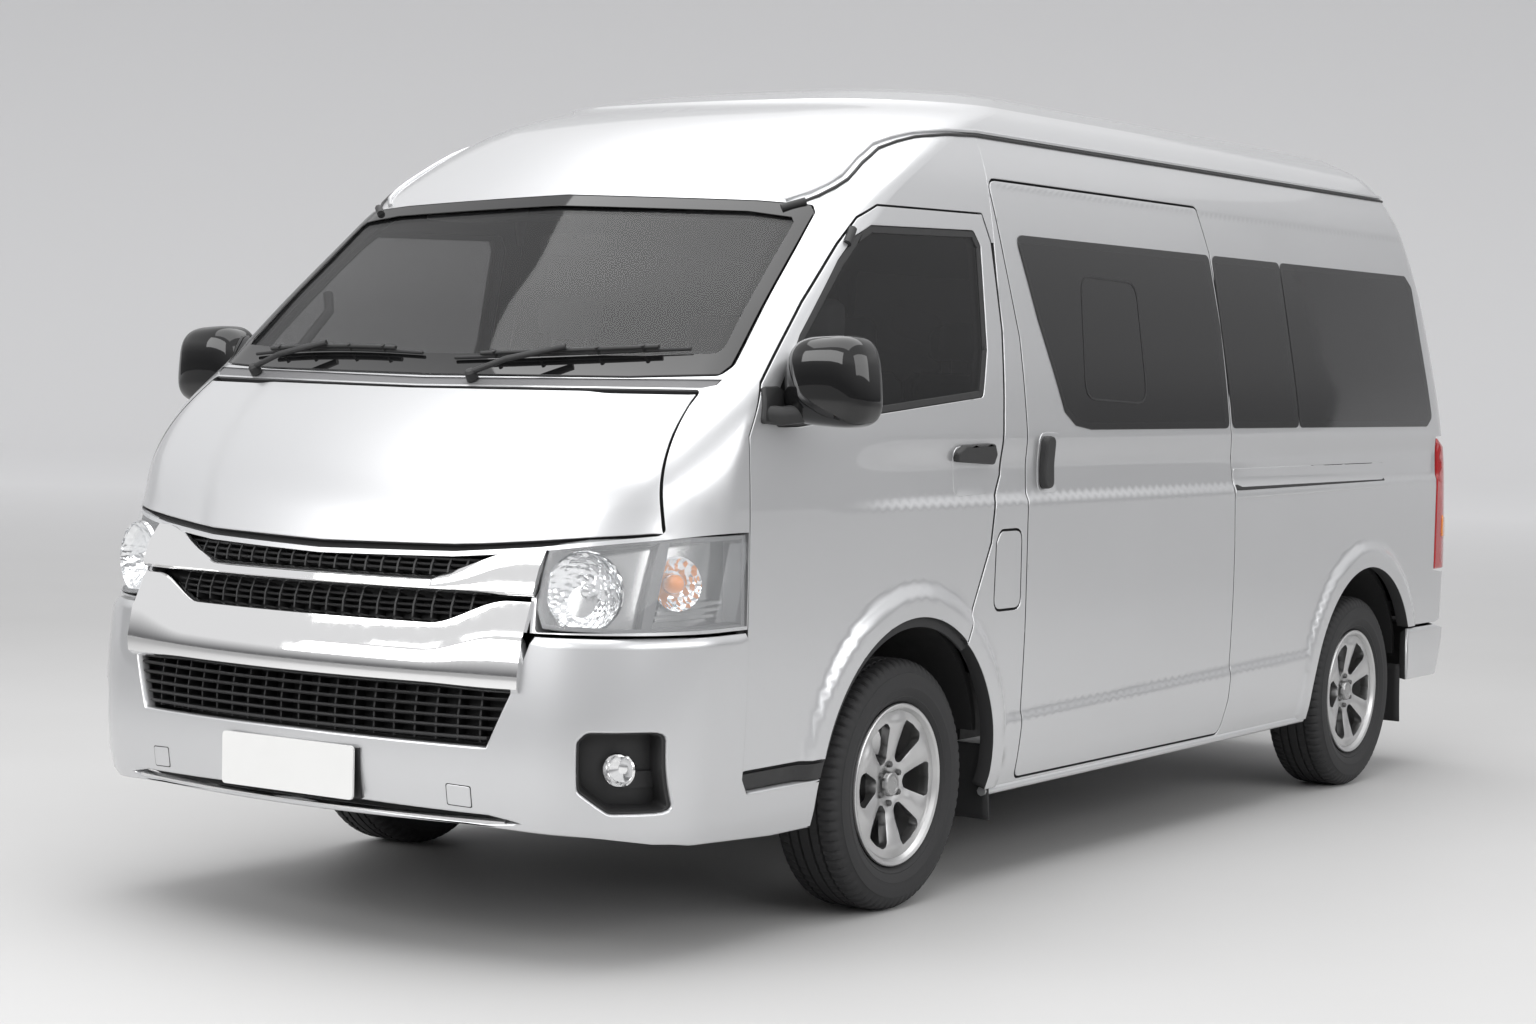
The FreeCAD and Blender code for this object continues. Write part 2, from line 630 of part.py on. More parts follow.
def tyre(label, side, axle_y):
    """Tyre: tread, shoulders, bulged walls and beads."""
    body = doc.addObject("PartDesign::Body", "TyreBody")
    half = [(72, "Car.rim_seat"), (72, "Car.rim_lip + 2"), (92, "Car.rim_lip + 22"),
            ("Car.tyre_half_width", "Car.rim_lip + 56"), ("Car.tyre_half_width - 4", "Car.tyre_radius - 34"),
            ("Car.tyre_half_width - 18", "Car.tyre_radius - 9"),
            ("Car.tyre_half_width - 42", "Car.tyre_radius")]
    other = [(f"0 - ({x})", r) for x, r in reversed(half)]
    revolved(body, "TyreRing", half + other)
    body.Placement = Placement(Vector(), Rotation(Vector(0, 0, 1), 0 if side > 0 else 180))
    bind_place(body, (f"{side} * Car.wheel_x", axle_y, AXLE_Z))
    return node(label, body)


SPOKES = 6


def wheel(label, side, axle_y):
    """Six-spoke wheel with its hub and brake disc."""
    body = doc.addObject("PartDesign::Body", "WheelBody")
    lip = "Car.rim_lip"
    seat = "Car.rim_seat"
    revolved(body, "Rim", [
        (-82, lip), (-82, f"{seat} - 10"), (44, f"{seat} - 22"), (40, 90), (44, 60), (44, 26),
        (70, 26), (70, 60), (62, 90), (74, f"{seat} - 16"), (88, f"{seat} + 2"), (88, lip),
        (76, lip), (72, seat), (-73, seat), (-77, lip)])
    sketch = sketch_on(body, "YZ_Plane", "WindowSketch")
    outline(sketch, [(18, 92), (52, 158), (28, 168), (-28, 168), (-52, 158), (-18, 92)])
    window = body.newObject("PartDesign::Pocket", "Window")
    window.Profile = sketch
    window.Type = 1
    window.Midplane = True
    doc.recompute()
    pattern = body.newObject("PartDesign::PolarPattern", "Windows")
    pattern.Originals = [window]
    x_axis = next(a for a in body.Origin.OriginFeatures if a.Role == "X_Axis")
    pattern.Axis = (x_axis, [""])
    pattern.Angle = 360
    pattern.Occurrences = SPOKES
    body.Tip = pattern
    doc.recompute()
    bore = "Car.spindle_radius + 0.5"
    revolved(body, "Hub", [
        (-76, 66), (-76, "Car.disc_radius"), (-56, "Car.disc_radius"), (-56, 66), (56, 60),
        (56, 27), (10, 27), (10, bore), (-76, bore)])
    body.Placement = Placement(Vector(), Rotation(Vector(0, 0, 1), 0 if side > 0 else 180))
    bind_place(body, (f"{side} * Car.wheel_x", axle_y, AXLE_Z))
    return node(label, body)


def knuckle():
    """Steering knuckle: upright on two pins, stub axle and brake caliper."""
    at = ("Car.kingpin_x", FRONT_Y)
    low, high = ARM_HEIGHTS
    upright = rod("z", 22, (*at, low + 29), high - low - 34)
    pins = rod("z", 11, (*at, low + 3), high - low + 20)
    stub = rod("x", "Car.spindle_radius", ("Car.kingpin_x", FRONT_Y, AXLE_Z), "Car.wheel_x - Car.kingpin_x")
    bracket = box(("Car.kingpin_x - 12", "Car.kingpin_x + 8"), (FRONT_Y, f"{FRONT_Y} + 150"), (296, 376))
    jaw = box(("Car.kingpin_x", "Car.wheel_x - 38"), (f"{FRONT_Y} + 90", f"{FRONT_Y} + 160"), (286, 386))
    slot = rod("x", "Car.disc_radius + 7", ("Car.wheel_x - 84", FRONT_Y, AXLE_Z), 36)
    return fuse(upright, pins, stub, bracket, cut(jaw, slot))


for corner, side, axle_y in (("fl", 1, FRONT_Y), ("fr", -1, FRONT_Y), ("rl", 1, REAR_Y), ("rr", -1, REAR_Y)):
    tyre(f"tyre_{corner}", side, axle_y)
    wheel(f"wheel_{corner}", side, axle_y)
left_knuckle = node("knuckle_left", knuckle())
node("knuckle_right", mirrored(left_knuckle))


# ---------------------------------------------------------------- under the floor
def engine():
    return box((-260, 260), (-1540, -900), (330, "Car.seat_deck - 20"))


def drive_line():
    """Gearbox behind the engine and the shaft to the rear axle."""
    case = box((-130, 130), (-895, -420), (330, 560))
    shaft = rod("y", 35, (0, -420, 400), f"({REAR_Y}) - Car.diff_radius + 420 + 20")
    return cut(fuse(case, shaft), rod("z", "Car.diff_radius + 1", (0, REAR_Y, 0), 600))


def exhaust():
    pipe = rod("y", 24, (-398, -700, 470), 3180)
    silencer = rod("y", 85, (-330, 850, 400), 560)
    return fuse(pipe, silencer)


def spare_wheel():
    """Spare tyre lying flat under the tail, with its plain disc."""
    ring = rod("z", "Car.tyre_radius", (0, "Car.spare_y", 352), "2 * Car.tyre_half_width - 20")
    well = rod("z", "Car.rim_seat", (0, "Car.spare_y", 340), 130)
    return cut(ring, well)


def mud_flaps():
    """Rubber flap behind each wheel."""
    flaps = []
    for y, inner in ((-868, 730), (2222, 720)):
        flap = box((inner, 830), (y, y + 8), (190, 330))
        flaps += [flap, mirrored(flap)]
    return group(*flaps)


node("engine", engine())
node("fuel_tank", box((110, 410), (-150, 700), (300, 560)))
node("rear_axle", fuse(rear_axle_set(), drive_line()))
node("exhaust", exhaust())
node("spare_wheel", spare_wheel())
node("mud_flaps", mud_flaps())


# ---------------------------------------------------------------- cab and cabin
def tilted_column():
    """Rotation that leans the steering column back towards the driver."""
    return Rotation(Vector(1, 0, 0), -size("column_tilt"))


def steering_wheel():
    """Rim, hub and three spokes about the column's own axis."""
    rim = doc.addObject("Part::Torus", "Rim")
    rim.setExpression("Radius1", "Car.hand_wheel - 15")
    rim.setExpression("Radius2", "15")
    hub = rod("z", 58, (0, 0, -45), 38)
    bar = box(("20 - Car.hand_wheel", "Car.hand_wheel - 20"), (-16, 16), (-22, -8))
    stem = box((-16, 16), ("20 - Car.hand_wheel", 0), (-22, -8))
    bore = rod("z", 12.5, (0, 0, -50), 25)
    wheel_shape = cut(fuse(rim, hub, bar, stem), bore)
    wheel_shape.Placement = Placement(Vector(), tilted_column())
    bind_place(wheel_shape, ("Car.column_x", "Car.column_y", "Car.column_z"))
    return wheel_shape


def steering_column():
    """Shaft and shroud below the steering wheel."""
    shaft = rod("z", 12, (0, 0, -300), 273)
    shroud = rod("z", 45, (0, 0, -300), 248)
    column = fuse(shaft, shroud)
    column.Placement = Placement(Vector(), tilted_column())
    bind_place(column, ("Car.column_x", "Car.column_y", "Car.column_z"))
    return column


def dashboard():
    """Padded shelf across the cab, with the steering column."""
    body = doc.addObject("PartDesign::Body", "DashBody")
    sketch = sketch_on(body, "YZ_Plane", "DashSketch")
    outline(sketch, [(-2230, 1150), (-2010, 1300), (-1900, 1290), (-1850, 1200), (-1880, 980),
                     (-2010, 860), (-2230, 860)])
    pad = body.newObject("PartDesign::Pad", "DashPad")
    pad.Profile = sketch
    pad.Midplane = True
    pad.Length = 1560
    return fuse(common(body, cabin), steering_column())


def seat(x, y, base, width):
    """Cushion, back and head rest of one seat or bench."""
    sides = (f"{x} - ({width}) / 2", f"{x} + ({width}) / 2")
    cushion = box(sides, (y, f"{y} + 460"), (base, f"{base} + 130"))
    back = box(sides, (f"{y} + 465", f"{y} + 575"), (f"{base} + 40", f"{base} + 640"))
    rest = box((f"{x} - 125", f"{x} + 125"), (f"{y} + 475", f"{y} + 565"), (f"{base} + 645", f"{base} + 800"))
    return [cushion, back, rest]


def front_seats():
    pieces = []
    for x in (-425, 425):
        pieces += seat(x, -1600, "Car.seat_deck + Car.floor_thick + 5", "Car.seat_width")
    return group(*pieces)


def passenger_seats():
    """Rows of benches, offset to leave the aisle by the sliding door, and a full rear row."""
    pieces = []
    for y in (-650, 130, 910):
        for x in (-560, -60):
            pieces += seat(x, y, "Car.floor_top + 180", "Car.seat_width")
            pieces.append(box((f"{x} - 180", f"{x} + 180"), (y + 60, y + 400),
                              ("Car.floor_top", "Car.floor_top + 175")))
    for x in (-550, 0, 550):
        pieces += seat(x, 1740, "Car.floor_top + 180", "Car.seat_width")
    return group(*pieces)


node("steering_wheel", steering_wheel())
node("dashboard", dashboard())
node("front_seats", front_seats())
node("passenger_seats", passenger_seats())


# ---------------------------------------------------------------- mirrors
def mirror():
    """Door mirror on its arm."""
    head = box((985, 1110), (-2060, -1975), (1300, 1500))
    arm = box((925, 990), (-2040, -2005), (1330, 1370))
    return fuse(head, arm)


left_mirror = node("mirror_left", mirror())
node("mirror_right", mirrored(left_mirror))

doc.recompute()
problems = [f"{o.Label}: {o.State}" for o in doc.Objects if {"Invalid", "Error"} & set(o.State)]
for label, obj in nodes.items():
    if obj.Shape.isNull() or not obj.Shape.isValid():
        problems.append(f"{label}: bad shape")
    elif not obj.Shape.Solids:
        problems.append(f"{label}: no solid")
if problems:
    raise RuntimeError("; ".join(problems))

os.makedirs("parts", exist_ok=True)
for label, obj in nodes.items():
    obj.Shape.exportStep(f"parts/{label}.step")
    solids = obj.Shape.Solids
    print(f"{label}: {len(solids)} solid(s), {obj.Shape.Volume / 1e9:.4f} m3")
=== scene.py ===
# %% [markdown]
# # High-roof passenger van
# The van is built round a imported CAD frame, in metres. Its nose points towards -Y, its left-hand side
# towards +X and the ground is at z = 0. Body panels are thin pressed sheets, so each one is modelled as a
# patch of one smooth body surface, cut to the panel's outline, with rolled edges at its gaps.

# %% Load the frame
import json
import math

import bmesh
import bpy
import numpy as np
from mathutils import Matrix, Vector
from mathutils.geometry import delaunay_2d_cdt


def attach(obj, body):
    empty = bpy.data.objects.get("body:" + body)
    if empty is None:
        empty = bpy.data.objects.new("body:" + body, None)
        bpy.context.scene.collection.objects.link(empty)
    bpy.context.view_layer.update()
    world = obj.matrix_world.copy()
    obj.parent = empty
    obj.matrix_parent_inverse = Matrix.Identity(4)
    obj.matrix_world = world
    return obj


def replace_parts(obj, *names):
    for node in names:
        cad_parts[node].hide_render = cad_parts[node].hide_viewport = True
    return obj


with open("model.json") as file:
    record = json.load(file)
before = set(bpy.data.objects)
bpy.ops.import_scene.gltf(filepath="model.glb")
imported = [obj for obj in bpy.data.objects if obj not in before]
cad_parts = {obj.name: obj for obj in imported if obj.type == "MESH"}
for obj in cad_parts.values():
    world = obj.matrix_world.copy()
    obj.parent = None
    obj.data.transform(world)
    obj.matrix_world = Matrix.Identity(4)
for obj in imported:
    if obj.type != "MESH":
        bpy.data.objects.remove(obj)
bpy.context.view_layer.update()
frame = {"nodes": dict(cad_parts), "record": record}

# %% [markdown]
# ## Shader helper
# A real finish is a stack of small effects: base colour, flake or grain, a clear coat, dust in the seams.
# `Value` wraps a node socket so that such a stack can be written as plain arithmetic.


# %% Shader helper
class Value:
    """One socket of a material's node tree, with arithmetic."""

    def __init__(self, tree, socket):
        self.tree = tree
        self.socket = socket

    def _math(self, kind, other, third=None, clamp=False):
        node = self.tree.nodes.new("ShaderNodeMath")
        node.operation = kind
        node.use_clamp = clamp
        for slot, value in zip(node.inputs, (self, other, third)):
            if isinstance(value, Value):
                self.tree.links.new(value.socket, slot)
            elif value is not None:
                slot.default_value = value
        return Value(self.tree, node.outputs[0])

    def __add__(self, other):
        return self._math("ADD", other)

    def __sub__(self, other):
        return self._math("SUBTRACT", other)

    def __mul__(self, other):
        return self._math("MULTIPLY", other)

    def __truediv__(self, other):
        return self._math("DIVIDE", other)

    def above(self, edge, blur):
        """0 below the edge and 1 above it, over a soft step."""
        return ((self - edge) / blur)._math("ADD", 0.5, clamp=True)

    def clamped(self):
        return self._math("ADD", 0.0, clamp=True)


class Finish:
    """A procedural material built from a principled surface."""

    def __init__(self, name, colour, roughness, metallic=0.0, coat=0.0):
        self.material = bpy.data.materials.new(name)
        self.material.use_nodes = True
        self.tree = self.material.node_tree
        self.surface = self.tree.nodes["Principled BSDF"]
        self.surface.inputs["Base Color"].default_value = (*colour, 1.0)
        self.surface.inputs["Roughness"].default_value = roughness
        self.surface.inputs["Metallic"].default_value = metallic
        self.surface.inputs["Coat Weight"].default_value = coat
        self.surface.inputs["Coat Roughness"].default_value = 0.03
        self.place = self.node("ShaderNodeTexCoord").outputs["Object"]

    def node(self, kind, settings=None, **inputs):
        """Any other node: settings are its own, inputs are sockets or constants."""
        made = self.tree.nodes.new(kind)
        for key, value in (settings or {}).items():
            setattr(made, key, value)
        for key, value in inputs.items():
            self.feed(made.inputs[key.replace("_", " ")], value)
        return made

    def feed(self, slot, value):
        if isinstance(value, Value):
            value = value.socket
        if isinstance(value, bpy.types.NodeSocket):
            self.tree.links.new(value, slot)
        else:
            slot.default_value = value

    def value(self, socket):
        return Value(self.tree, socket)

    def noise(self, scale, detail=3.0, rough=0.5, stretch=(1, 1, 1)):
        """Cloudy variation about 0.5, `scale` cells to the metre."""
        mapping = self.node("ShaderNodeMapping", Vector=self.place, Scale=stretch)
        made = self.node("ShaderNodeTexNoise", Vector=mapping.outputs[0], Scale=scale,
                         Detail=detail, Roughness=rough)
        return self.value(made.outputs[0])

    def cells(self, scale, feature="F1", stretch=(1, 1, 1)):
        mapping = self.node("ShaderNodeMapping", Vector=self.place, Scale=stretch)
        made = self.node("ShaderNodeTexVoronoi", {"feature": feature}, Vector=mapping.outputs[0],
                         Scale=scale)
        return self.value(made.outputs["Distance"])

    def mix(self, factor, low, high):
        """Blend two colours by a factor."""
        made = self.node("ShaderNodeMix", {"data_type": "RGBA"})
        self.feed(made.inputs[0], factor)
        self.feed(made.inputs[6], low if not isinstance(low, tuple) else (*low, 1.0))
        self.feed(made.inputs[7], high if not isinstance(high, tuple) else (*high, 1.0))
        return made.outputs[2]

    def set(self, slot, value):
        self.feed(self.surface.inputs[slot], value)
        return self

    def bump(self, height, strength, distance):
        made = self.node("ShaderNodeBump", Height=height, Strength=strength, Distance=distance)
        self.feed(self.surface.inputs["Normal"], made.outputs[0])
        return self


# %% [markdown]
# ## Camera, light and floor
# The view is a long lens a little above the driver's shoulder, looking back along the left-hand side.
# The studio is a pale sweep under large soft panels, so the metallic paint shows broad gradients.

# %% Camera, light and floor
CAMERA_PLACE = Vector((4.8193, -7.8133, 1.4314))
CAMERA_YAW, CAMERA_PITCH, CAMERA_ROLL = (math.radians(a) for a in (33.8757, 2.8420, 1.3164))
CAMERA_LENS = 66.997


def look_axes(yaw, pitch, roll):
    """Right, up and forward directions of the camera."""
    forward = Vector((-math.sin(yaw) * math.cos(pitch), math.cos(yaw) * math.cos(pitch), -math.sin(pitch)))
    level = Vector((math.cos(yaw), math.sin(yaw), 0))
    rise = level.cross(forward)
    right = level * math.cos(roll) + rise * math.sin(roll)
    up = rise * math.cos(roll) - level * math.sin(roll)
    return right, up, forward


scene = bpy.context.scene
camera = bpy.data.objects.new("camera", bpy.data.cameras.new("camera"))
right, up, forward = look_axes(CAMERA_YAW, CAMERA_PITCH, CAMERA_ROLL)
camera.matrix_world = Matrix((
    (right.x, up.x, -forward.x, CAMERA_PLACE.x),
    (right.y, up.y, -forward.y, CAMERA_PLACE.y),
    (right.z, up.z, -forward.z, CAMERA_PLACE.z),
    (0, 0, 0, 1)))
camera.data.lens = CAMERA_LENS
camera.data.sensor_width = 36
camera.data.clip_end = 200
scene.collection.objects.link(camera)
scene.camera = camera
scene.view_settings.view_transform = "Standard"


def softbox(name, place, aim, width, height, power):
    """Large soft panel of light aimed at a point."""
    light = bpy.data.lights.new(name, "AREA")
    light.shape = "RECTANGLE"
    light.size = width
    light.size_y = height
    light.energy = power
    made = bpy.data.objects.new(name, light)
    made.location = place
    made.rotation_euler = (Vector(aim) - Vector(place)).to_track_quat("-Z", "Y").to_euler()
    scene.collection.objects.link(made)


softbox("light_top", (0.0, -1.0, 7.5), (0, 0, 0), 9, 12, 620)
softbox("light_side", (8.5, -1.0, 4.2), (0.5, 0, 1.0), 11, 3, 230)
softbox("light_front", (-2.0, -9.5, 4.6), (0, -2, 1.0), 9, 3.5, 330)

world = bpy.data.worlds.new("studio")
scene.world = world
world.use_nodes = True
sky = world.node_tree.nodes["Background"]
sky.inputs["Strength"].default_value = 0.85
direction = world.node_tree.nodes.new("ShaderNodeTexCoord")
split = world.node_tree.nodes.new("ShaderNodeSeparateXYZ")
ramp = world.node_tree.nodes.new("ShaderNodeValToRGB")
ramp.color_ramp.elements[0].position, ramp.color_ramp.elements[0].color = 0.02, (0.20, 0.20, 0.205, 1)
ramp.color_ramp.elements[1].position, ramp.color_ramp.elements[1].color = 0.30, (0.95, 0.95, 0.96, 1)
world.node_tree.links.new(direction.outputs["Generated"], split.inputs[0])
world.node_tree.links.new(split.outputs["Z"], ramp.inputs["Fac"])
world.node_tree.links.new(ramp.outputs["Color"], sky.inputs["Color"])

floor_finish = Finish("floor_paint", (0.50, 0.50, 0.50), 0.55)
height_up = floor_finish.value(floor_finish.node("ShaderNodeSeparateXYZ",
                                                 Vector=floor_finish.place).outputs["Y"])
near_floor = floor_finish.mix(floor_finish.noise(0.7), (0.485, 0.483, 0.48), (0.525, 0.523, 0.52))
floor_finish.set("Base Color", floor_finish.mix(height_up.above(14.0, 16.0), near_floor,
                                                (0.86, 0.86, 0.865)))


def sweep():
    """Studio floor that curves up into a backdrop far behind."""
    mesh = bpy.data.meshes.new("studio_floor")
    build = bmesh.new()
    reach, bend, height, steps = 40.0, 8.0, 22.0, 16
    profile = [(-reach, 0.0), (reach - bend, 0.0)]
    profile += [(reach - bend + bend * math.sin(a), bend - bend * math.cos(a))
                for a in (math.pi / 2 * k / steps for k in range(1, steps + 1))]
    profile.append((reach, height))
    rows = [[build.verts.new((x, y, z)) for x in (-60, 60)] for y, z in profile]
    for a, b in zip(rows, rows[1:]):
        build.faces.new((a[0], a[1], b[1], b[0]))
    build.to_mesh(mesh)
    build.free()
    made = bpy.data.objects.new("studio_floor", mesh)
    made.rotation_euler.z = CAMERA_YAW
    for face in mesh.polygons:
        face.use_smooth = True
    mesh.materials.append(floor_finish.material)
    scene.collection.objects.link(made)


sweep()

# %% [markdown]
# ## Finishes
# The paint is silver flake under clear coat. Trim is grained plastic, the bright parts are plated, the side
# glass is dark privacy glass and the lamps are clear mouldings over plated reflectors. Each has its own fine
# variation, because a real surface is never one even value.


# %% Finishes
def metallic_paint():
    """Silver metallic under clear coat: fine flakes and a faint cloudiness."""
    made = Finish("silver_paint", (0.60, 0.605, 0.615), 0.32, metallic=0.72, coat=1.0)
    flake = made.cells(2600)
    cloud = made.noise(1.4, 2)
    made.set("Base Color", made.mix(cloud, (0.60, 0.605, 0.615), (0.65, 0.655, 0.665)))
    made.set("Roughness", flake * 0.12 + 0.26)
    return made.material


def dark_plastic(name, tone):
    made = Finish(name, (tone, tone, tone * 1.03), 0.5)
    grain = made.cells(1400)
    made.set("Roughness", made.noise(30) * 0.2 + 0.42)
    made.bump(grain, 0.25, 0.0004)
    return made.material


def glass(name, tone, alpha):
    made = Finish(name, (tone, tone, tone * 1.05), 0.03, coat=0.3)
    made.set("Alpha", made.noise(0.8) * 0.04 + alpha)
    return made.material


def tyre_rubber():
    made = Finish("tyre_rubber", (0.022, 0.022, 0.023), 0.72)
    made.bump(made.noise(160), 0.3, 0.001)
    return made.material


def cloth():
    made = Finish("seat_cloth", (0.16, 0.16, 0.165), 0.9)
    made.bump(made.cells(900), 0.4, 0.001)
    made.set("Base Color", made.mix(made.noise(60), (0.13, 0.13, 0.135), (0.2, 0.2, 0.205)))
    return made.material


def bare_metal(name, tone, roughness):
    made = Finish(name, (tone, tone, tone), roughness, metallic=1.0)
    made.set("Roughness", made.noise(40) * 0.2 + roughness - 0.1)
    return made.material


def lens(name, tone, alpha):
    """Clear moulded lens with faint ripples."""
    made = Finish(name, tone, 0.05, coat=1.0)
    made.set("Alpha", made.noise(6) * 0.04 + alpha)
    made.bump(made.noise(24), 0.06, 0.002)
    return made.material


def facets():
    """Vacuum-plated reflector pressed in small flat facets."""
    made = Finish("faceted_reflector", (0.86, 0.87, 0.88), 0.08, metallic=1.0)
    made.bump(made.cells(52), 0.7, 0.006)
    return made.material


def plate_paint():
    """Blank reflective sheet."""
    made = Finish("plate_sheet", (0.74, 0.74, 0.73), 0.35, coat=0.3)
    made.bump(made.cells(700), 0.1, 0.0002)
    made.set("Base Color", made.mix(made.noise(9), (0.72, 0.72, 0.71), (0.77, 0.77, 0.76)))
    return made.material


finishes = {"chrome": bare_metal("chrome_plate", 0.88, 0.06),
            "reflector": bare_metal("lamp_tray", 0.46, 0.16), "facets": facets(),
            "lens": lens("clear_lens", (0.9, 0.92, 0.94), 0.10),
            "amber": lens("amber_cover", (0.85, 0.28, 0.03), 0.85),
            "lamp_grey": dark_plastic("lamp_bezel", 0.09),
            "gloss_black": glass("printed_black", 0.006, 1.0), "cap": bare_metal("hub_cap", 0.42, 0.3),
            "silvered": bare_metal("silvered_glass", 0.85, 0.04),
            "cowl_grey": dark_plastic("cowl_plastic", 0.14), "plate": plate_paint(),
            "paint": metallic_paint(), "chassis": dark_plastic("underbody_coat", 0.02),
            "black": dark_plastic("black_plastic", 0.02), "bright": bare_metal("bright_trim", 0.8, 0.15),
            "clear_lamp": bare_metal("lamp_chrome", 0.7, 0.2),
            "red_lamp": lens("red_lens", (0.42, 0.01, 0.012), 0.88),
            "glass": glass("tinted_glass", 0.012, 0.42), "privacy": glass("privacy_glass", 0.012, 0.9),
            "tyre": tyre_rubber(), "alloy": bare_metal("wheel_silver", 0.6, 0.35),
            "iron": bare_metal("cast_iron", 0.15, 0.5), "rubber": tyre_rubber(), "fabric": cloth(),
            "dash": dark_plastic("dash_plastic", 0.05), "steel": bare_metal("tube_steel", 0.4, 0.4)}
for part in frame["record"]["subparts"]:
    mesh = frame["nodes"][part["node"]].data
    mesh.materials.clear()
    mesh.materials.append(finishes[part["material_slot"]])


# %% [markdown]
# ## Body surface
# Such a body is drawn as a few long curves: half width, nose and tail at each height, and the round of the
# four corners. A point on it is found from `w`, the way round the van from the middle of the nose, and its
# height. Pressed features (arch flares, the waist crease, the stepped sill) are added along the normal.

# %% Body surface
SECTIONS = np.array([
    (0.240, 0.885, -2.610, 2.625, 0.200, 0.250, 0.120),
    (0.340, 0.915, -2.668, 2.672, 0.200, 0.252, 0.122),
    (0.500, 0.932, -2.690, 2.690, 0.200, 0.256, 0.124),
    (0.800, 0.940, -2.660, 2.688, 0.200, 0.262, 0.126),
    (1.050, 0.940, -2.572, 2.674, 0.190, 0.255, 0.128),
    (1.150, 0.937, -2.516, 2.664, 0.175, 0.215, 0.122),
    (1.250, 0.932, -2.424, 2.652, 0.160, 0.175, 0.125),
    (1.330, 0.925, -2.322, 2.642, 0.150, 0.145, 0.130),
    (1.410, 0.917, -2.205, 2.628, 0.142, 0.135, 0.138),
    (1.600, 0.893, -1.990, 2.592, 0.148, 0.145, 0.155),
    (1.750, 0.873, -1.815, 2.556, 0.154, 0.158, 0.170),
    (1.890, 0.852, -1.652, 2.504, 0.160, 0.180, 0.190),
    (2.000, 0.830, -1.515, 2.456, 0.200, 0.245, 0.210),
    (2.100, 0.795, -1.355, 2.405, 0.240, 0.325, 0.260),
    (2.160, 0.765, -1.180, 2.354, 0.250, 0.355, 0.305),
    (2.200, 0.725, -1.050, 2.306, 0.250, 0.370, 0.340),
    (2.235, 0.655, -0.890, 2.235, 0.250, 0.330, 0.330),
    (2.260, 0.555, -0.720, 2.145, 0.250, 0.290, 0.290),
    (2.277, 0.400, -0.490, 2.020, 0.250, 0.240, 0.240),
    (2.285, 0.220, -0.100, 1.900, 0.250, 0.180, 0.180)])
TAIL_BOW = 0.085
STRETCHES = np.cumsum([0, 0.70, 0.32, 4.50, 0.20, 0.80])     # nose, corner, side, corner, tail
FRONT_AXLE, REAR_AXLE, AXLE_HEIGHT = -1.325, 1.785, 0.336
ARCH = 0.446                   # radius of the wheel openings
FLARE, FLARE_REACH = 0.018, 0.545
WAIST, WAIST_DEPTH = 1.088, 0.010
SILL_STEP, SILL_DEPTH = 0.470, 0.009
EAVES_STEP = 0.003


def monotone(z, heights, values):
    """Smooth curve through a column of the table that never overshoots it."""
    steps = np.diff(heights)
    slopes = np.diff(values) / steps
    product = slopes[:-1] * slopes[1:]
    total = np.where(slopes[:-1] + slopes[1:] == 0, 1, slopes[:-1] + slopes[1:])
    inner = np.where(product <= 0, 0, 2 * product / total)
    tangents = np.concatenate([slopes[:1], inner, slopes[-1:]])
    i = np.clip(np.searchsorted(heights, z, side="right") - 1, 0, len(steps) - 1)
    u = (z - heights[i]) / steps[i]
    return ((1 + 2 * u) * (1 - u) ** 2 * values[i] + u * (1 - u) ** 2 * steps[i] * tangents[i]
            + u * u * (3 - 2 * u) * values[i + 1] + u * u * (u - 1) * steps[i] * tangents[i + 1])


def section(z):
    """Half width, nose, tail, bow, front radius and rear radius at some heights."""
    z = np.clip(np.asarray(z, float), SECTIONS[0, 0], SECTIONS[-1, 0])
    return [monotone(z, SECTIONS[:, 0], SECTIONS[:, k]) for k in range(1, 7)]


def key_lines(z):
    """Where nose, corners, sides and tail meet at each height."""
    half, nose, tail, bow, front, rear = section(z)
    straight, flat = half - front, half - rear
    nose_end = nose + bow * straight ** 2
    slope = 2 * bow * straight
    side_front = nose_end + slope * front + front
    tail_end = tail - TAIL_BOW * flat ** 2
    return half, nose, tail, bow, front, rear, straight, flat, nose_end, slope, side_front, tail_end


def bare_skin(w, z):
    """Point on the plain body surface; negative w is the right-hand side."""
    w = np.where(w > STRETCHES[5], w - 2 * STRETCHES[5], w)
    side, w = np.sign(w) + (w == 0), np.abs(w)
    half, nose, tail, bow, front, rear, straight, flat, nose_end, slope, side_front, tail_end = key_lines(z)
    s = STRETCHES
    part = [(w - s[k]) / (s[k + 1] - s[k]) for k in range(5)]
    zone = np.clip(np.searchsorted(s, w, side="right") - 1, 0, 4)
    a, b = part[1] * math.pi / 2, part[3] * math.pi / 2
    x = np.choose(zone, [straight * part[0], straight + front * np.sin(a), half,
                         flat + rear * np.cos(b), flat * (1 - part[4])])
    y = np.choose(zone, [nose + bow * (straight * part[0]) ** 2,
                         nose_end + slope * front * np.sin(a) + front * (1 - np.cos(a)),
                         side_front + (tail_end - rear - side_front) * part[2],
                         tail_end - rear + rear * np.sin(b),
                         tail - TAIL_BOW * (flat * (1 - part[4])) ** 2])
    return np.stack([side * x, y, z], -1)


def from_nose(x, z):
    """w of a point given in front view."""
    z = np.asarray(z, float)
    half, nose, tail, bow, front, rear, straight, *_ = key_lines(z)
    reach = np.abs(x)
    angle = np.arcsin(np.clip((reach - straight) / front, 0, 1))
    w = np.where(reach <= straight, STRETCHES[1] * reach / straight,
                 STRETCHES[1] + (STRETCHES[2] - STRETCHES[1]) * angle / (math.pi / 2))
    return w * np.where(np.asarray(x) < 0, -1, 1)


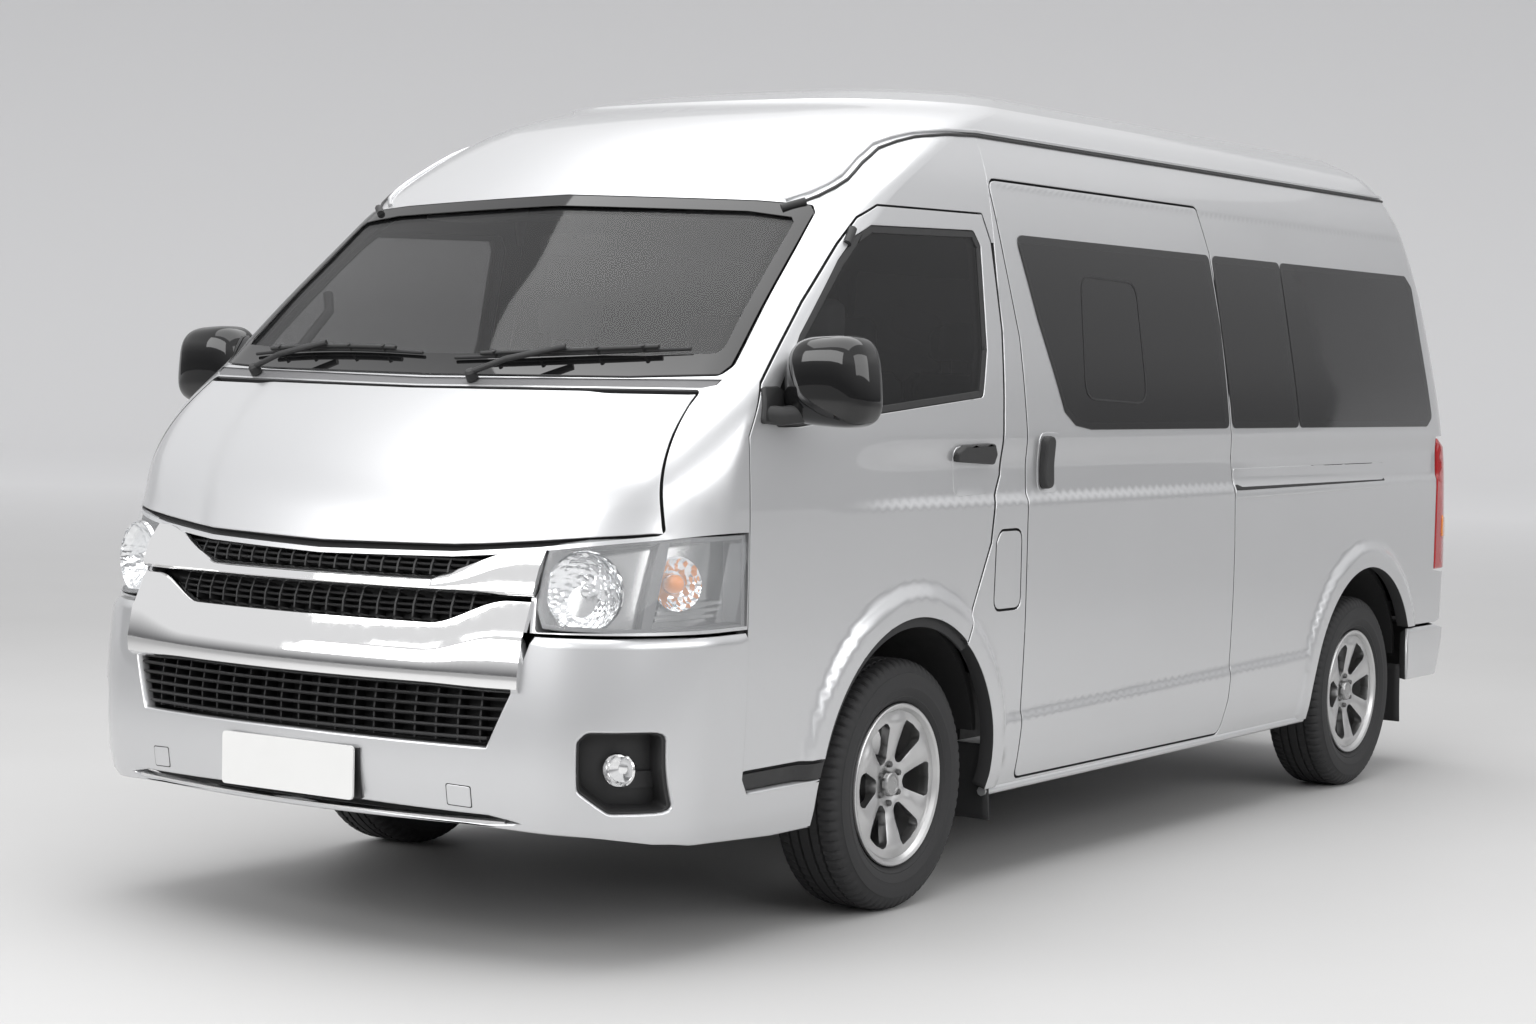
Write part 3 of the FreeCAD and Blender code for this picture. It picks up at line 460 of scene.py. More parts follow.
def from_side(y, z):
    """w of a point given in side view, on the left-hand side."""
    z = np.asarray(z, float)
    half, nose, tail, bow, front, rear, straight, flat, nose_end, slope, side_front, tail_end = key_lines(z)
    low, high = np.zeros_like(z), np.full_like(z, math.pi / 2)
    for _ in range(30):
        mid = (low + high) / 2
        ahead = nose_end + slope * front * np.sin(mid) + front * (1 - np.cos(mid)) < y
        low, high = np.where(ahead, mid, low), np.where(ahead, high, mid)
    s = STRETCHES
    corner = s[1] + (s[2] - s[1]) * low / (math.pi / 2)
    run = (y - side_front) / (tail_end - rear - side_front)
    turn = np.arcsin(np.clip((y - tail_end + rear) / rear, 0, 1)) / (math.pi / 2)
    return np.where(run < 0, corner, np.where(run <= 1, s[2] + (s[3] - s[2]) * run, s[3]
                                              + (s[4] - s[3]) * turn))


def from_tail(x, z):
    """w of a point given in rear view."""
    z = np.asarray(z, float)
    half, nose, tail, bow, front, rear, straight, flat, *_ = key_lines(z)
    reach = np.abs(x)
    s = STRETCHES
    turn = np.arccos(np.clip((reach - flat) / rear, 0, 1)) / (math.pi / 2)
    w = np.where(reach <= flat, s[4] + (s[5] - s[4]) * (1 - reach / flat), s[3] + (s[4] - s[3]) * turn)
    return w * np.where(np.asarray(x) < 0, -1, 1)


def ease(value, low, high):
    """0 to 1 with soft ends."""
    t = np.clip((value - low) / (high - low), 0, 1)
    return t * t * (3 - 2 * t)


def relief(p):
    """How far the pressed features stand out from the plain surface."""
    x, y, z = np.abs(p[..., 0]), p[..., 1], p[..., 2]
    flank = ease(x, 0.80, 0.86) * ease(-np.abs(y - 0.2), -2.36, -2.28) * ease(-y, -2.5, -2.4)
    crease = -WAIST_DEPTH * ease(z, WAIST - 0.014, WAIST + 0.018) * ease(-z, -1.27, -1.17)
    crease *= ease(y, -1.80, -1.30)
    sill_line = SILL_STEP + 0.018 * (y + 0.8)
    sill = SILL_DEPTH * ease(-z, -sill_line - 0.016, -sill_line + 0.016) * ease(y, -1.06, -1.0)
    flare = 0.0
    for centre in (FRONT_AXLE, REAR_AXLE):
        r = np.hypot(y - centre, z - AXLE_HEIGHT)
        flare = np.maximum(flare, FLARE * ease(-r, -FLARE_REACH, 0.045 - FLARE_REACH))
    upper = EAVES_STEP * ease(z, 1.955, 1.975) * ease(y, -0.9, -0.7)
    return flank * (crease + np.maximum(sill, flare) + upper)


def tangent_frame(w, z, surface, step=0.0008):
    """Unit normal of a surface function at each point."""
    along = surface(w + step, z) - surface(w - step, z)
    rise = surface(w, z + step) - surface(w, z - step)
    normal = np.cross(along, rise)
    return normal / np.linalg.norm(normal, axis=-1, keepdims=True)


def skin(w, z):
    """Point on the body with its pressed features."""
    point = bare_skin(w, z)
    return point + tangent_frame(w, z, bare_skin) * relief(point)[..., None]


# %% [markdown]
# ## Panels
# A panel is one pressing: an outer face that follows the body, a rolled edge at every gap and an inner face
# one wall behind. Its outline is drawn flat, filled with small triangles and laid on the surface, and its
# normals come from the surface itself, so reflections run on smoothly from panel to panel.


# %% Panels
def open_fine(points, step=0.02):
    """Line with extra points on its long stretches."""
    result = []
    for a, b in zip(points, points[1:]):
        count = max(1, round(math.dist(a, b) / step))
        result += [(a[0] + (b[0] - a[0]) * k / count, a[1] + (b[1] - a[1]) * k / count)
                   for k in range(count)]
    return result + [tuple(points[-1])]


def fine(points, step=0.02):
    """Closed outline with extra points on its long edges."""
    return open_fine([*points, points[0]], step)[:-1]


def rounded(points, radius):
    """Closed outline whose corners are arcs; radius is one value or one for each corner."""
    count = len(points)
    radii = radius if isinstance(radius, (list, tuple)) else [radius] * count
    result = []
    for k, (corner, r) in enumerate(zip(points, radii)):
        corner = Vector(corner)
        before, after = (Vector(points[k - 1]) - corner), (Vector(points[(k + 1) % count]) - corner)
        if r <= 0:
            result.append(tuple(corner))
            continue
        half_turn = before.angle(after) / 2
        back = min(r / math.tan(half_turn), before.length * 0.48, after.length * 0.48)
        start, end = corner + before.normalized() * back, corner + after.normalized() * back
        for j in range(5):
            t = j / 4
            result.append(tuple(start * (1 - t) ** 2 + corner * 2 * t * (1 - t) + end * t * t))
    return result


def arc(centre, radius, start, end, count=24):
    """Points along part of a circle, by angles in degrees."""
    angles = [math.radians(start + (end - start) * k / count) for k in range(count + 1)]
    return [(centre[0] + radius * math.cos(a), centre[1] + radius * math.sin(a)) for a in angles]


def grown(points, amount):
    """Closed fine outline moved outwards (or inwards, if negative) by an amount."""
    flat = np.array(points)
    ahead, behind = np.roll(flat, -1, 0), np.roll(flat, 1, 0)
    tangent = ahead - behind
    tangent /= np.maximum(np.linalg.norm(tangent, axis=1, keepdims=True), 1e-9)
    area = np.sum(flat[:, 0] * ahead[:, 1] - ahead[:, 0] * flat[:, 1])
    outward = np.stack([tangent[:, 1], -tangent[:, 0]], 1) * (1 if area > 0 else -1)
    return [tuple(p) for p in flat + outward * amount]


def inside(points, polygon):
    """Even-odd test of many points against one polygon."""
    x, y = points[:, 0], points[:, 1]
    result = np.zeros(len(points), bool)
    for (ax, ay), (bx, by) in zip(polygon, polygon[1:] + polygon[:1]):
        crosses = (ay > y) != (by > y)
        if by != ay:
            result ^= crosses & (x < (bx - ax) * (y - ay) / (by - ay) + ax)
    return result


def near_edge(points, polygon, distance):
    """Which points lie too close to a polygon's corners."""
    corners = np.array(polygon)
    gaps = np.full(len(points), np.inf)
    for start in range(0, len(corners), 64):
        block = corners[None, start:start + 64] - points[:, None]
        gaps = np.minimum(gaps, np.sqrt((block ** 2).sum(-1)).min(1))
    return gaps < distance


def filled(loops, step):
    """Triangles that fill the loops' even-odd area: flat points and index triples."""
    low = np.min([np.min(loop, 0) for loop in loops], 0)
    high = np.max([np.max(loop, 0) for loop in loops], 0)
    across, up_step = step if isinstance(step, tuple) else (step, step)
    step = min(across, up_step)
    grid_x, grid_y = np.meshgrid(np.arange(low[0], high[0], across), np.arange(low[1], high[1], up_step))
    grid_x[1::2] += across / 2
    grid = np.stack([grid_x.ravel(), grid_y.ravel()], 1)
    keep = np.zeros(len(grid), bool)
    for loop in loops:
        keep ^= inside(grid, loop)
    for loop in loops:
        keep &= ~near_edge(grid, loop, step * 0.55)
    points, edges = [], []
    for loop in loops:
        start = len(points)
        points += [Vector(p) for p in loop]
        edges += [(start + k, start + (k + 1) % len(loop)) for k in range(len(loop))]
    points += [Vector(p) for p in grid[keep]]
    verts, _, faces, *_ = delaunay_2d_cdt(points, edges, [], 0, 1e-7, False)
    flat = np.array([tuple(v) for v in verts])
    faces = [f for f in faces if len(f) == 3]
    centres = np.array([flat[list(f)].mean(0) for f in faces])
    shown = np.zeros(len(faces), bool)
    for loop in loops:
        shown ^= inside(centres, loop)
    faces = [f for f, s in zip(faces, shown) if s]
    return flat, faces


def rim_loops(faces):
    """Boundary edges of a set of faces, in face order."""
    seen = {}
    for f in faces:
        for a, b in zip(f, f[1:] + f[:1]):
            seen[(a, b)] = 1
    return [(a, b) for a, b in seen if (b, a) not in seen]


def make_piece(name, points, faces, normals, indices, materials, body, smooth=True):
    """Mesh object with given vertex normals that rides on a body."""
    mesh = bpy.data.meshes.new(name)
    mesh.from_pydata([tuple(p) for p in points], [], faces)
    for material in materials:
        mesh.materials.append(material)
    if indices is not None:
        mesh.polygons.foreach_set("material_index", indices)
    mesh.polygons.foreach_set("use_smooth", [smooth] * len(mesh.polygons))
    if normals is not None:
        mesh.normals_split_custom_set_from_vertices([tuple(n) for n in normals])
    mesh.update()
    made = bpy.data.objects.new(name, mesh)
    scene.collection.objects.link(made)
    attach(made, body)
    return made


def panel(name, loops, body, materials, step=0.035, wall=0.045, roll=0.0022, lift=0.0, inner=True,
          surface=None, side=1):
    """Pressed panel from loops of (w, z): outer face, rolled edge and inner face."""
    surface = surface or skin
    flat, faces = filled([list(loop) for loop in loops], step)
    w, z = flat[:, 0], flat[:, 1]
    outer = surface(w, z)
    normal = tangent_frame(w, z, surface)
    middle = bare_skin(w, z)
    if np.mean(np.sum(normal * (middle - np.array([0, 0.1, 1.0])), 1)) < 0:
        normal = -normal
    outer = outer + normal * lift
    a, b, c = (outer[[f[k] for f in faces]] for k in range(3))
    facing = np.sum(np.cross(b - a, c - a) * normal[[f[0] for f in faces]], 1)
    faces = [f if ahead > 0 else f[::-1] for f, ahead in zip(faces, facing)]
    rim = rim_loops(faces)
    count = len(outer)
    away = np.zeros_like(outer)
    for p, q in rim:
        along = outer[q] - outer[p]
        out = np.cross(along, normal[p])
        out /= max(np.linalg.norm(out), 1e-9)
        away[p] += out
        away[q] += out
    length = np.linalg.norm(away, axis=1, keepdims=True)
    away = np.where(length > 0, away / np.maximum(length, 1e-9), 0)
    edge = sorted({v for pair in rim for v in pair})
    index = {v: k for k, v in enumerate(edge)}
    outer[edge] -= away[edge] * roll
    rings = [(0.4, 0.05, 0.4), (0.8, 0.35, 1.2), (1.0, 1.0, 3.0)]
    points, normals = [outer], [normal]
    for out, down, tilt in rings:
        points.append(outer[edge] + away[edge] * roll * out - normal[edge] * roll * down)
        mixed = normal[edge] + away[edge] * tilt
        normals.append(mixed / np.linalg.norm(mixed, axis=1, keepdims=True))
    points.append(outer[edge] + away[edge] * roll - normal[edge] * wall)
    normals.append(away[edge])
    all_faces = list(faces)
    kinds = [0] * len(faces)
    levels = [lambda v: v] + [lambda v, k=k: count + k * len(edge) + index[v] for k in range(4)]
    # With two materials, the second (dark rubber) lines the deep edge wall and the inner face: painted shade,
    # so the panel gaps read dark.
    for k in range(4):
        for p, q in rim:
            all_faces.append((levels[k](q), levels[k](p), levels[k + 1](p), levels[k + 1](q)))
            kinds.append(1 if k == 3 and len(materials) > 1 else 0)
    if inner:
        start = count + 4 * len(edge)
        points.append(outer - normal * wall)
        normals.append(-normal)
        all_faces += [tuple(start + v for v in f[::-1]) for f in faces]
        # The inner face takes that second material too: painted shade seen through the gaps.
        kinds += [1 if len(materials) > 1 else 0] * len(faces)
    points, normals = np.concatenate(points), np.concatenate(normals)
    if side < 0:
        points, normals = points * [-1, 1, 1], normals * [-1, 1, 1]
        all_faces = [f[::-1] for f in all_faces]
    return make_piece(name, points, all_faces, normals, kinds, materials, body)


# %% [markdown]
# ## Side walls and doors
# The flank is one pressing behind the front door: sill, arch flares, waist crease and rear quarter. The doors
# are cut from the same surface, so the flares and creases run on across their gaps.

# %% Side walls and doors
SIDES = ((1, "left"), (-1, "right"))
GAP = 0.007                    # between a door's edge and the wall round it
FINE_GRID = (0.045, 0.010)


def laid(found):
    """Function that lays the points of one flat view on the body, as (w, z)."""
    def placed(points):
        flat = np.array(points)
        return list(zip(found(flat[:, 0], flat[:, 1]), flat[:, 1]))
    return placed


on_side, on_tail, on_nose = laid(from_side), laid(from_tail), laid(from_nose)


def both_halves(half):
    """Full loop from its left half, which runs from one middle point to the other."""
    return half + [(-w, z) for w, z in reversed(half) if abs(w) > 1e-6]


def nose_loop(half):
    """Full loop on the nose from its left half in front view."""
    return both_halves(on_nose(open_fine(half)))


def arch_line(axle, start, end):
    """Wheel opening between two angles, in side view."""
    return arc((axle, AXLE_HEIGHT), ARCH, start, end, 40)


FRONT_DOOR = [(-2.112, 0.450), (-2.112, 1.270), (-2.090, 1.304), (-2.030, 1.401), (-1.918, 1.504),
              (-1.806, 1.606), (-1.616, 1.761), (-1.515, 1.835), (-1.425, 1.872), (-0.875, 1.881),
              (-0.838, 1.800), (-0.822, 1.557), (-0.840, 1.369), (-0.866, 1.154), (-0.905, 1.080),
              (-0.924, 0.967), (-1.066, 0.700)]
FRONT_WINDOW = [(-2.012, 1.327), (-1.852, 1.520), (-1.635, 1.717), (-1.545, 1.784), (-1.468, 1.815),
                (-0.930, 1.830), (-0.900, 1.790), (-0.915, 1.500), (-0.955, 1.370), (-1.890, 1.292),
                (-1.985, 1.293)]
SLIDING_DOOR = [(-0.712, 0.296), (-0.712, 1.300), (-0.720, 1.540), (-0.769, 1.755), (-0.816, 1.976),
                (0.520, 1.976), (0.578, 1.837), (0.620, 1.593), (0.635, 1.278), (0.660, 1.090),
                (0.670, 0.900), (0.670, 0.400), (0.638, 0.296)]
SLIDING_GLASS = [(-0.700, 1.830), (-0.612, 1.595), (-0.489, 1.330), (-0.425, 1.290), (-0.330, 1.278),
                 (0.622, 1.278), (0.607, 1.593), (0.566, 1.830)]
QUARTER_GLASS = [[(0.648, 1.278), (1.176, 1.278), (1.114, 1.830), (0.592, 1.830)],
                 [(1.182, 1.278), (2.345, 1.278), (2.400, 1.310), (2.300, 1.790), (2.245, 1.830),
                  (1.120, 1.830)]]
RIGHT_GLASS = [[(-0.700, 1.278), (0.615, 1.278), (0.565, 1.830), (-0.700, 1.830)]] + QUARTER_GLASS
FUEL_LID = [(-0.897, 0.782), (-0.752, 0.782), (-0.752, 0.998), (-0.868, 0.998), (-0.890, 0.970)]

door_arch_start = math.degrees(math.atan2(0.700 - AXLE_HEIGHT, -1.066 - FRONT_AXLE))
door_arch_end = 180 - math.degrees(math.asin((0.450 - AXLE_HEIGHT) / ARCH))
door_line = fine(FRONT_DOOR + arch_line(FRONT_AXLE, door_arch_start, door_arch_end))
SILL_FOOT = 0.282
quarter_end = math.degrees(math.asin((0.545 - AXLE_HEIGHT) / ARCH))
low_turn = math.degrees(math.asin((AXLE_HEIGHT - SILL_FOOT) / ARCH))


def side_outline():
    """Flank behind the front door: sill, rear arch, quarter, eaves and centre pillar."""
    run = open_fine([(-0.882, SILL_FOOT), (1.342, SILL_FOOT)])
    run += arch_line(REAR_AXLE, 180 + low_turn, quarter_end)
    run += open_fine([(2.20, 0.545), (2.50, 0.545)])
    rear = on_tail(open_fine([(0.776, 0.545), (0.806, 0.600), (0.806, 1.300), (0.776, 1.600),
                              (0.741, 1.900), (0.697, 2.064), (0.690, 2.090)]))
    top = open_fine([(2.25, 2.100), (-0.823, 2.100), (-0.823, 1.800)])
    pillar = open_fine([(-0.816, 1.557), (-0.834, 1.369), (-0.860, 1.154), (-0.899, 1.080), (-0.918, 0.967),
                        (-1.062, 0.704)])
    arch = arch_line(FRONT_AXLE, door_arch_start, -low_turn)
    return on_side(run) + rear + on_side(top + pillar + arch[:-1])


def opening(points, radius, spread=0.0):
    """Loop of a rounded outline in side view, moved out or in by an amount."""
    return on_side(grown(fine(rounded(points, radius)), spread))


tail_lamp_hole = (on_side(open_fine([(2.440, 1.240), (2.440, 0.740)]))
                  + on_tail(open_fine([(0.812, 0.740), (0.812, 1.240)])))
# Dark rubber: real on the wiper blades, frames and weatherstrips, and painted shade where it lines the panel
# gaps, the panels' edge walls and their backs.
paint, black, rubber_and_gap_shade = finishes["paint"], finishes["black"], finishes["rubber"]
left_loops = [side_outline(), opening(SLIDING_DOOR, 0.03, GAP), opening(FUEL_LID, 0.03, GAP),
              tail_lamp_hole]
right_loops = [side_outline(), tail_lamp_hole]
left_loops += [opening(g, 0.03, -0.022) for g in QUARTER_GLASS]
right_loops += [opening(g, 0.03, -0.022) for g in RIGHT_GLASS]
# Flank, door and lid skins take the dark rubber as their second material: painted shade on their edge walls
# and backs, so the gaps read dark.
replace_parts(panel("left_flank", left_loops, "body", [paint, rubber_and_gap_shade], step=FINE_GRID),
            "left_side_panel")
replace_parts(panel("right_flank", right_loops, "body", [paint, rubber_and_gap_shade], side=-1, step=FINE_GRID),
            "right_side_panel")
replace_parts(panel("sliding_door_skin", [opening(SLIDING_DOOR, 0.03), opening(SLIDING_GLASS, 0.03, -0.022)],
                  "body", [paint, rubber_and_gap_shade], step=FINE_GRID), "sliding_door")
for side, word in SIDES:
    body = f"front_door_{word}"
    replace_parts(panel(f"{body}_skin", [on_side(grown(door_line, -0.005)), opening(FRONT_WINDOW, 0.02)],
                      body, [paint, rubber_and_gap_shade], side=side, step=FINE_GRID), body)
    panel(f"{body}_glass_rubber", [opening(FRONT_WINDOW, 0.02, -0.001),
                                   opening(FRONT_WINDOW, 0.02, -0.020)], body, [black], wall=0.012,
          lift=-0.003, side=side)
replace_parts(panel("fuel_lid_skin", [opening(FUEL_LID, 0.03)], "fuel_lid", [paint, rubber_and_gap_shade],
                  wall=0.006), "fuel_lid")


def seal_and_gap_shade_strip(name, points, radius, body, side=1, reach=0.024, depth=-0.014):
    """Dark rubber strip that closes a gap from behind: partly the real weatherstrip, partly painted shade
    that darkens the gap line.
    """
    loops = [opening(points, radius, reach), opening(points, radius, -reach)]
    return panel(name, loops, body, [rubber_and_gap_shade], wall=0.008, lift=depth, side=side)


# Dark strips behind the sliding door, fuel lid and front door gaps: painted shade of the gaps, over the real
# weatherstrips.
seal_and_gap_shade_strip("sliding_door_seal", SLIDING_DOOR, 0.03, "body")
seal_and_gap_shade_strip("fuel_lid_seal", FUEL_LID, 0.03, "body")
for side, word in SIDES:
    panel(f"front_door_seal_and_gap_shade_{word}", [on_side(grown(door_line, 0.022)), on_side(grown(door_line, -0.020))],
          "body", [rubber_and_gap_shade], wall=0.008, lift=-0.014, side=side)

glasses = []
for word, side, shapes in (("left", 1, [SLIDING_GLASS] + QUARTER_GLASS), ("right", -1, RIGHT_GLASS)):
    for number, shape in enumerate(shapes):
        glasses.append(panel(f"{word}_side_glass_{number}", [opening(shape, 0.028)], "body",
                             [finishes["privacy"]], wall=0.005, lift=0.003, roll=0.0015,
                             side=side, step=0.08))
for made in glasses:
    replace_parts(made, "side_windows")

# %% [markdown]
# ## Nose
# The nose is a tall hood over two chromed grille bars, big clear lamps and a deep painted bumper that stands
# proud of the body. Behind every opening is a black mesh or a dark duct.


# %% Nose
def ring_line(points, radius=0.0, spread=0.0):
    return on_nose(grown(fine(rounded(points, radius)), spread))


def proud(out, low, high, blur=0.010):
    """Body surface lifted by an amount between two heights, with rounded shoulders."""
    def surface(w, z):
        point = bare_skin(w, z)
        lift = out * ease(z, low, low + blur) * ease(-z, -high, blur - high)
        return point + tangent_frame(w, z, bare_skin) * lift[..., None]
    return surface


BUMPER_TOP = 0.797
bumper_surface = proud(0.014, 0.10, BUMPER_TOP + 0.004, 0.022)
half = on_nose(open_fine([(0.0, 0.345), (0.50, 0.345), (0.72, 0.335)])) + on_side(
    open_fine([(-2.30, 0.300), (-1.95, 0.280), (-1.768, 0.280)])
    + arch_line(FRONT_AXLE, 180 + math.degrees(math.asin(0.056 / ARCH)),
                180 - math.degrees(math.asin(0.067 / ARCH)))
    + open_fine([(-1.766, 0.403), (-2.094, 0.403), (-2.120, 0.440), (-2.120, 0.797), (-2.30, 0.797)]))
half += on_nose(open_fine([(0.80, 0.797), (0.652, 0.797), (0.612, 0.660), (0.560, 0.532), (0.0, 0.536)]))
FOG_RECESS = [(0.785, 0.578), (0.905, 0.578), (0.905, 0.386), (0.820, 0.386), (0.768, 0.440),
              (0.768, 0.556)]
LOWER_SLOT = [(0.0, 0.385), (0.560, 0.372), (0.640, 0.358), (0.560, 0.352), (0.0, 0.362)]
fog = ring_line(FOG_RECESS, 0.02)
slot = nose_loop(LOWER_SLOT)
bumper = panel("bumper_skin", [both_halves(half), fog, [(-w, z) for w, z in fog][::-1], slot], "body",
               [paint], surface=bumper_surface, roll=0.006, wall=0.03)
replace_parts(bumper, "front_bumper")
for side, word in SIDES:
    panel(f"arch_strip_{word}", [on_side(fine([(-2.094, 0.406), (-1.766, 0.406), (-1.757, 0.446),
                                               (-2.112, 0.446)]))], "body", [black], wall=0.01,
          lift=-0.004, side=side)

HOOD_HALF = [(0.0, 0.984), (0.400, 0.992), (0.600, 1.010), (0.870, 1.036), (0.836, 1.236), (0.818, 1.340),
             (0.812, 1.374), (0.0, 1.368)]


def hood_surface(w, z):
    """Hood with a faint raised centre field whose edges run down to the grille."""
    point = bare_skin(w, z)
    edge = 0.42 + 0.32 * (z - 0.98)
    rise = 0.006 * ease(-np.abs(point[..., 0]), -edge - 0.05, 0.03 - edge)
    return point + tangent_frame(w, z, bare_skin) * rise[..., None]


hood_line = nose_loop(HOOD_HALF)
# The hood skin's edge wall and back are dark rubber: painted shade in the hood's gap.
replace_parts(panel("hood_skin", [grown(hood_line, -0.006)], "hood", [paint, rubber_and_gap_shade],
                  surface=hood_surface, wall=0.014), "hood")
# Dark strip behind the hood's gap: partly the real weatherstrip, partly painted shade that darkens the gap.
panel("hood_seal", [grown(hood_line, 0.016), grown(hood_line, -0.022)], "body", [rubber_and_gap_shade],
      wall=0.006, lift=-0.022)


def swept(name, stations, profile, body, material, surface=None):
    """Bar laid along the nose: profile(x) gives its closed section as (lift, z) pairs."""
    surface = surface or bare_skin
    rows = []
    for x in stations:
        section_points = np.array(profile(x))
        z = section_points[:, 1]
        w = from_nose(np.full(len(z), x), z)
        rows.append(surface(w, z) + tangent_frame(w, z, surface) * section_points[:, :1])
    count = len(rows[0])
    faces = [(r * count + k, r * count + (k + 1) % count, (r + 1) * count + (k + 1) % count, (r + 1) * count
              + k) for r in range(len(rows) - 1) for k in range(count)]
    faces += [tuple(range(count))[::-1], tuple((len(rows) - 1) * count + k for k in range(count))]
    made = make_piece(name, np.concatenate(rows), faces, None, None, [material], body)
    finish_mesh(made, 35)
    return made


def finish_mesh(made, angle=35, soften=0.0):
    """Outward faces, with edges sharper than an angle left crisp or softened by a small bevel."""
    build = bmesh.new()
    build.from_mesh(made.data)
    bmesh.ops.recalc_face_normals(build, faces=build.faces)
    build.to_mesh(made.data)
    build.free()
    made.data.set_sharp_from_angle(angle=math.radians(angle))
    if soften:
        bevel = made.modifiers.new("soft_edges", "BEVEL")
        bevel.width = soften
        bevel.segments = 2
        bevel.limit_method = "ANGLE"
        bevel.angle_limit = math.radians(angle)


chrome, bright = finishes["chrome"], finishes["bright"]
stations = [0.64 * k / 40 for k in range(-40, 41)]


def upper_bar(x):
    """Slim chrome bar that opens into a wing at each end."""
    low = 0.884 + 0.002 * abs(x)
    high = 0.924 + 0.074 * float(ease(abs(x), 0.34, 0.60))
    return [(-0.010, low), (0.012, low), (0.022, low + 0.006), (0.020, low + (high - low) * 0.55),
            (0.006, high - 0.004), (-0.004, high), (-0.014, high)]


def lower_bar(x):
    """Wide chrome band, folded along its middle, with taller ends."""
    end = float(ease(abs(x), 0.38, 0.58))
    low = 0.664 - 0.004 * end
    high = 0.818 + 0.060 * end
    fold = 0.752 + 0.040 * end
    return [(-0.010, low), (0.014, low), (0.030, low + 0.010), (0.036, low + 0.040), (0.032, fold - 0.006),
            (0.028, fold), (0.010, high - 0.006), (0.0, high), (-0.014, high)]


swept("grille_upper_bar", stations, upper_bar, "body", chrome)
swept("grille_lower_bar", [s * 0.992 for s in stations], lower_bar, "body", chrome)
GRILLE_FRAME = [(0.0, 0.980), (0.400, 0.986), (0.632, 1.006), (0.640, 0.930), (0.640, 0.797),
                (0.600, 0.660), (0.552, 0.534), (0.0, 0.538)]
back = panel("grille_duct", [nose_loop(GRILLE_FRAME)], "body", [black],
             lift=-0.052, wall=0.006)
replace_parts(back, "grille")
for row in range(5):
    height = 0.548 + 0.0235 * row
    swept(f"grille_slat_{row}", [s * (0.868 + 0.022 * row) for s in stations[::2]],
          lambda x, z=height: [(-0.045, z), (-0.004, z - 0.001), (0.002, z + 0.003), (-0.002, z + 0.007),
                               (-0.045, z + 0.006)],
          "body", black)
for number, (low, high, reach) in enumerate(((0.540, 0.662, 0.56), (0.826, 0.884, 0.50),
                                             (0.930, 0.972, 0.46))):
    for k in range(-9, 10):
        x = reach * k / 9.5
        swept(f"grille_rib_{number}_{k + 9}", [x - 0.0025, x + 0.0025],
              lambda _, a=low, b=high: [(-0.050, a), (-0.016, a), (-0.012, (a + b) / 2), (-0.016, b),
                                        (-0.050, b)],
              "body", black)
for number, height in enumerate((0.838, 0.853, 0.868, 0.938, 0.952, 0.966)):
    swept(f"grille_fin_{number}", [s * 0.80 for s in stations[::2]],
          lambda x, z=height: [(-0.046, z), (-0.018, z), (-0.014, z + 0.003), (-0.018, z + 0.006),
                               (-0.046, z + 0.006)],
          "body", black)

# The number plate and the two tow covers
PLATE_OUTLINE = [(-0.216, 0.380), (0.216, 0.380), (0.216, 0.510), (-0.216, 0.510)]
plate_flat, plate_faces = filled([fine(rounded(PLATE_OUTLINE, 0.012), 0.02)], 0.03)
PLATE_FRONT, PLATE_REAR = -2.7135, 2.7035


def thickened(made, thickness, offset=-1):
    """Give an open sheet a wall."""
    wall = made.modifiers.new("thickness", "SOLIDIFY")
    wall.thickness = thickness
    wall.offset = offset
    return made


def plate(name, y, facing, body, low):
    points = [(x, y, z + low) for x, z in plate_flat]
    made = make_piece(name, points, [f if facing > 0 else f[::-1] for f in plate_faces], None, None,
                      [finishes["plate"]], body, smooth=False)
    return thickened(made, 0.006)


plate("number_plate_front", PLATE_FRONT, 1, "body", 0.0)
swept("number_plate_bracket", [0.22 * k / 6 for k in range(-6, 7)],
      lambda x: [(0.004, 0.385), (0.021, 0.385), (0.021, 0.505), (0.004, 0.505)], "body", black)
for side, word in SIDES:
    panel(f"tow_cover_{word}", [ring_line([(0.458, 0.392), (0.520, 0.389), (0.520, 0.437), (0.458, 0.440)],
                                          0.006)], "body", [paint], surface=bumper_surface,
          lift=0.0015, wall=0.004, roll=0.0015, side=side)
    # Black ring just under each tow cover: painted shade of the gap round the cover.
    panel(f"tow_gap_shade_{word}", [ring_line([(0.456, 0.390), (0.522, 0.387), (0.522, 0.439), (0.456, 0.442)],
                                        0.006)], "body", [black], surface=bumper_surface,
          lift=0.0005, wall=0.004, roll=0.0005, side=side)
swept("bumper_silver_lip", [0.60 * k / 24 for k in range(-24, 25)],
      lambda x: [(-0.004, 0.352), (0.012, 0.352), (0.014, 0.360), (-0.004, 0.362)], "body", bright)
panel("bumper_slot_duct", [nose_loop([(0.0, 0.395), (0.58, 0.380), (0.65, 0.357), (0.56, 0.346),
                                      (0.0, 0.352)])], "body", [black], lift=-0.030, wall=0.006)

# %% [markdown]
# ## Lamps
# Each headlamp is a deep tray with a faceted bowl, a second chamber with an amber bulb, a fluted outer end
# and a clear lens that follows the body. The fog lamps sit in black ducts in the bumper's corners.

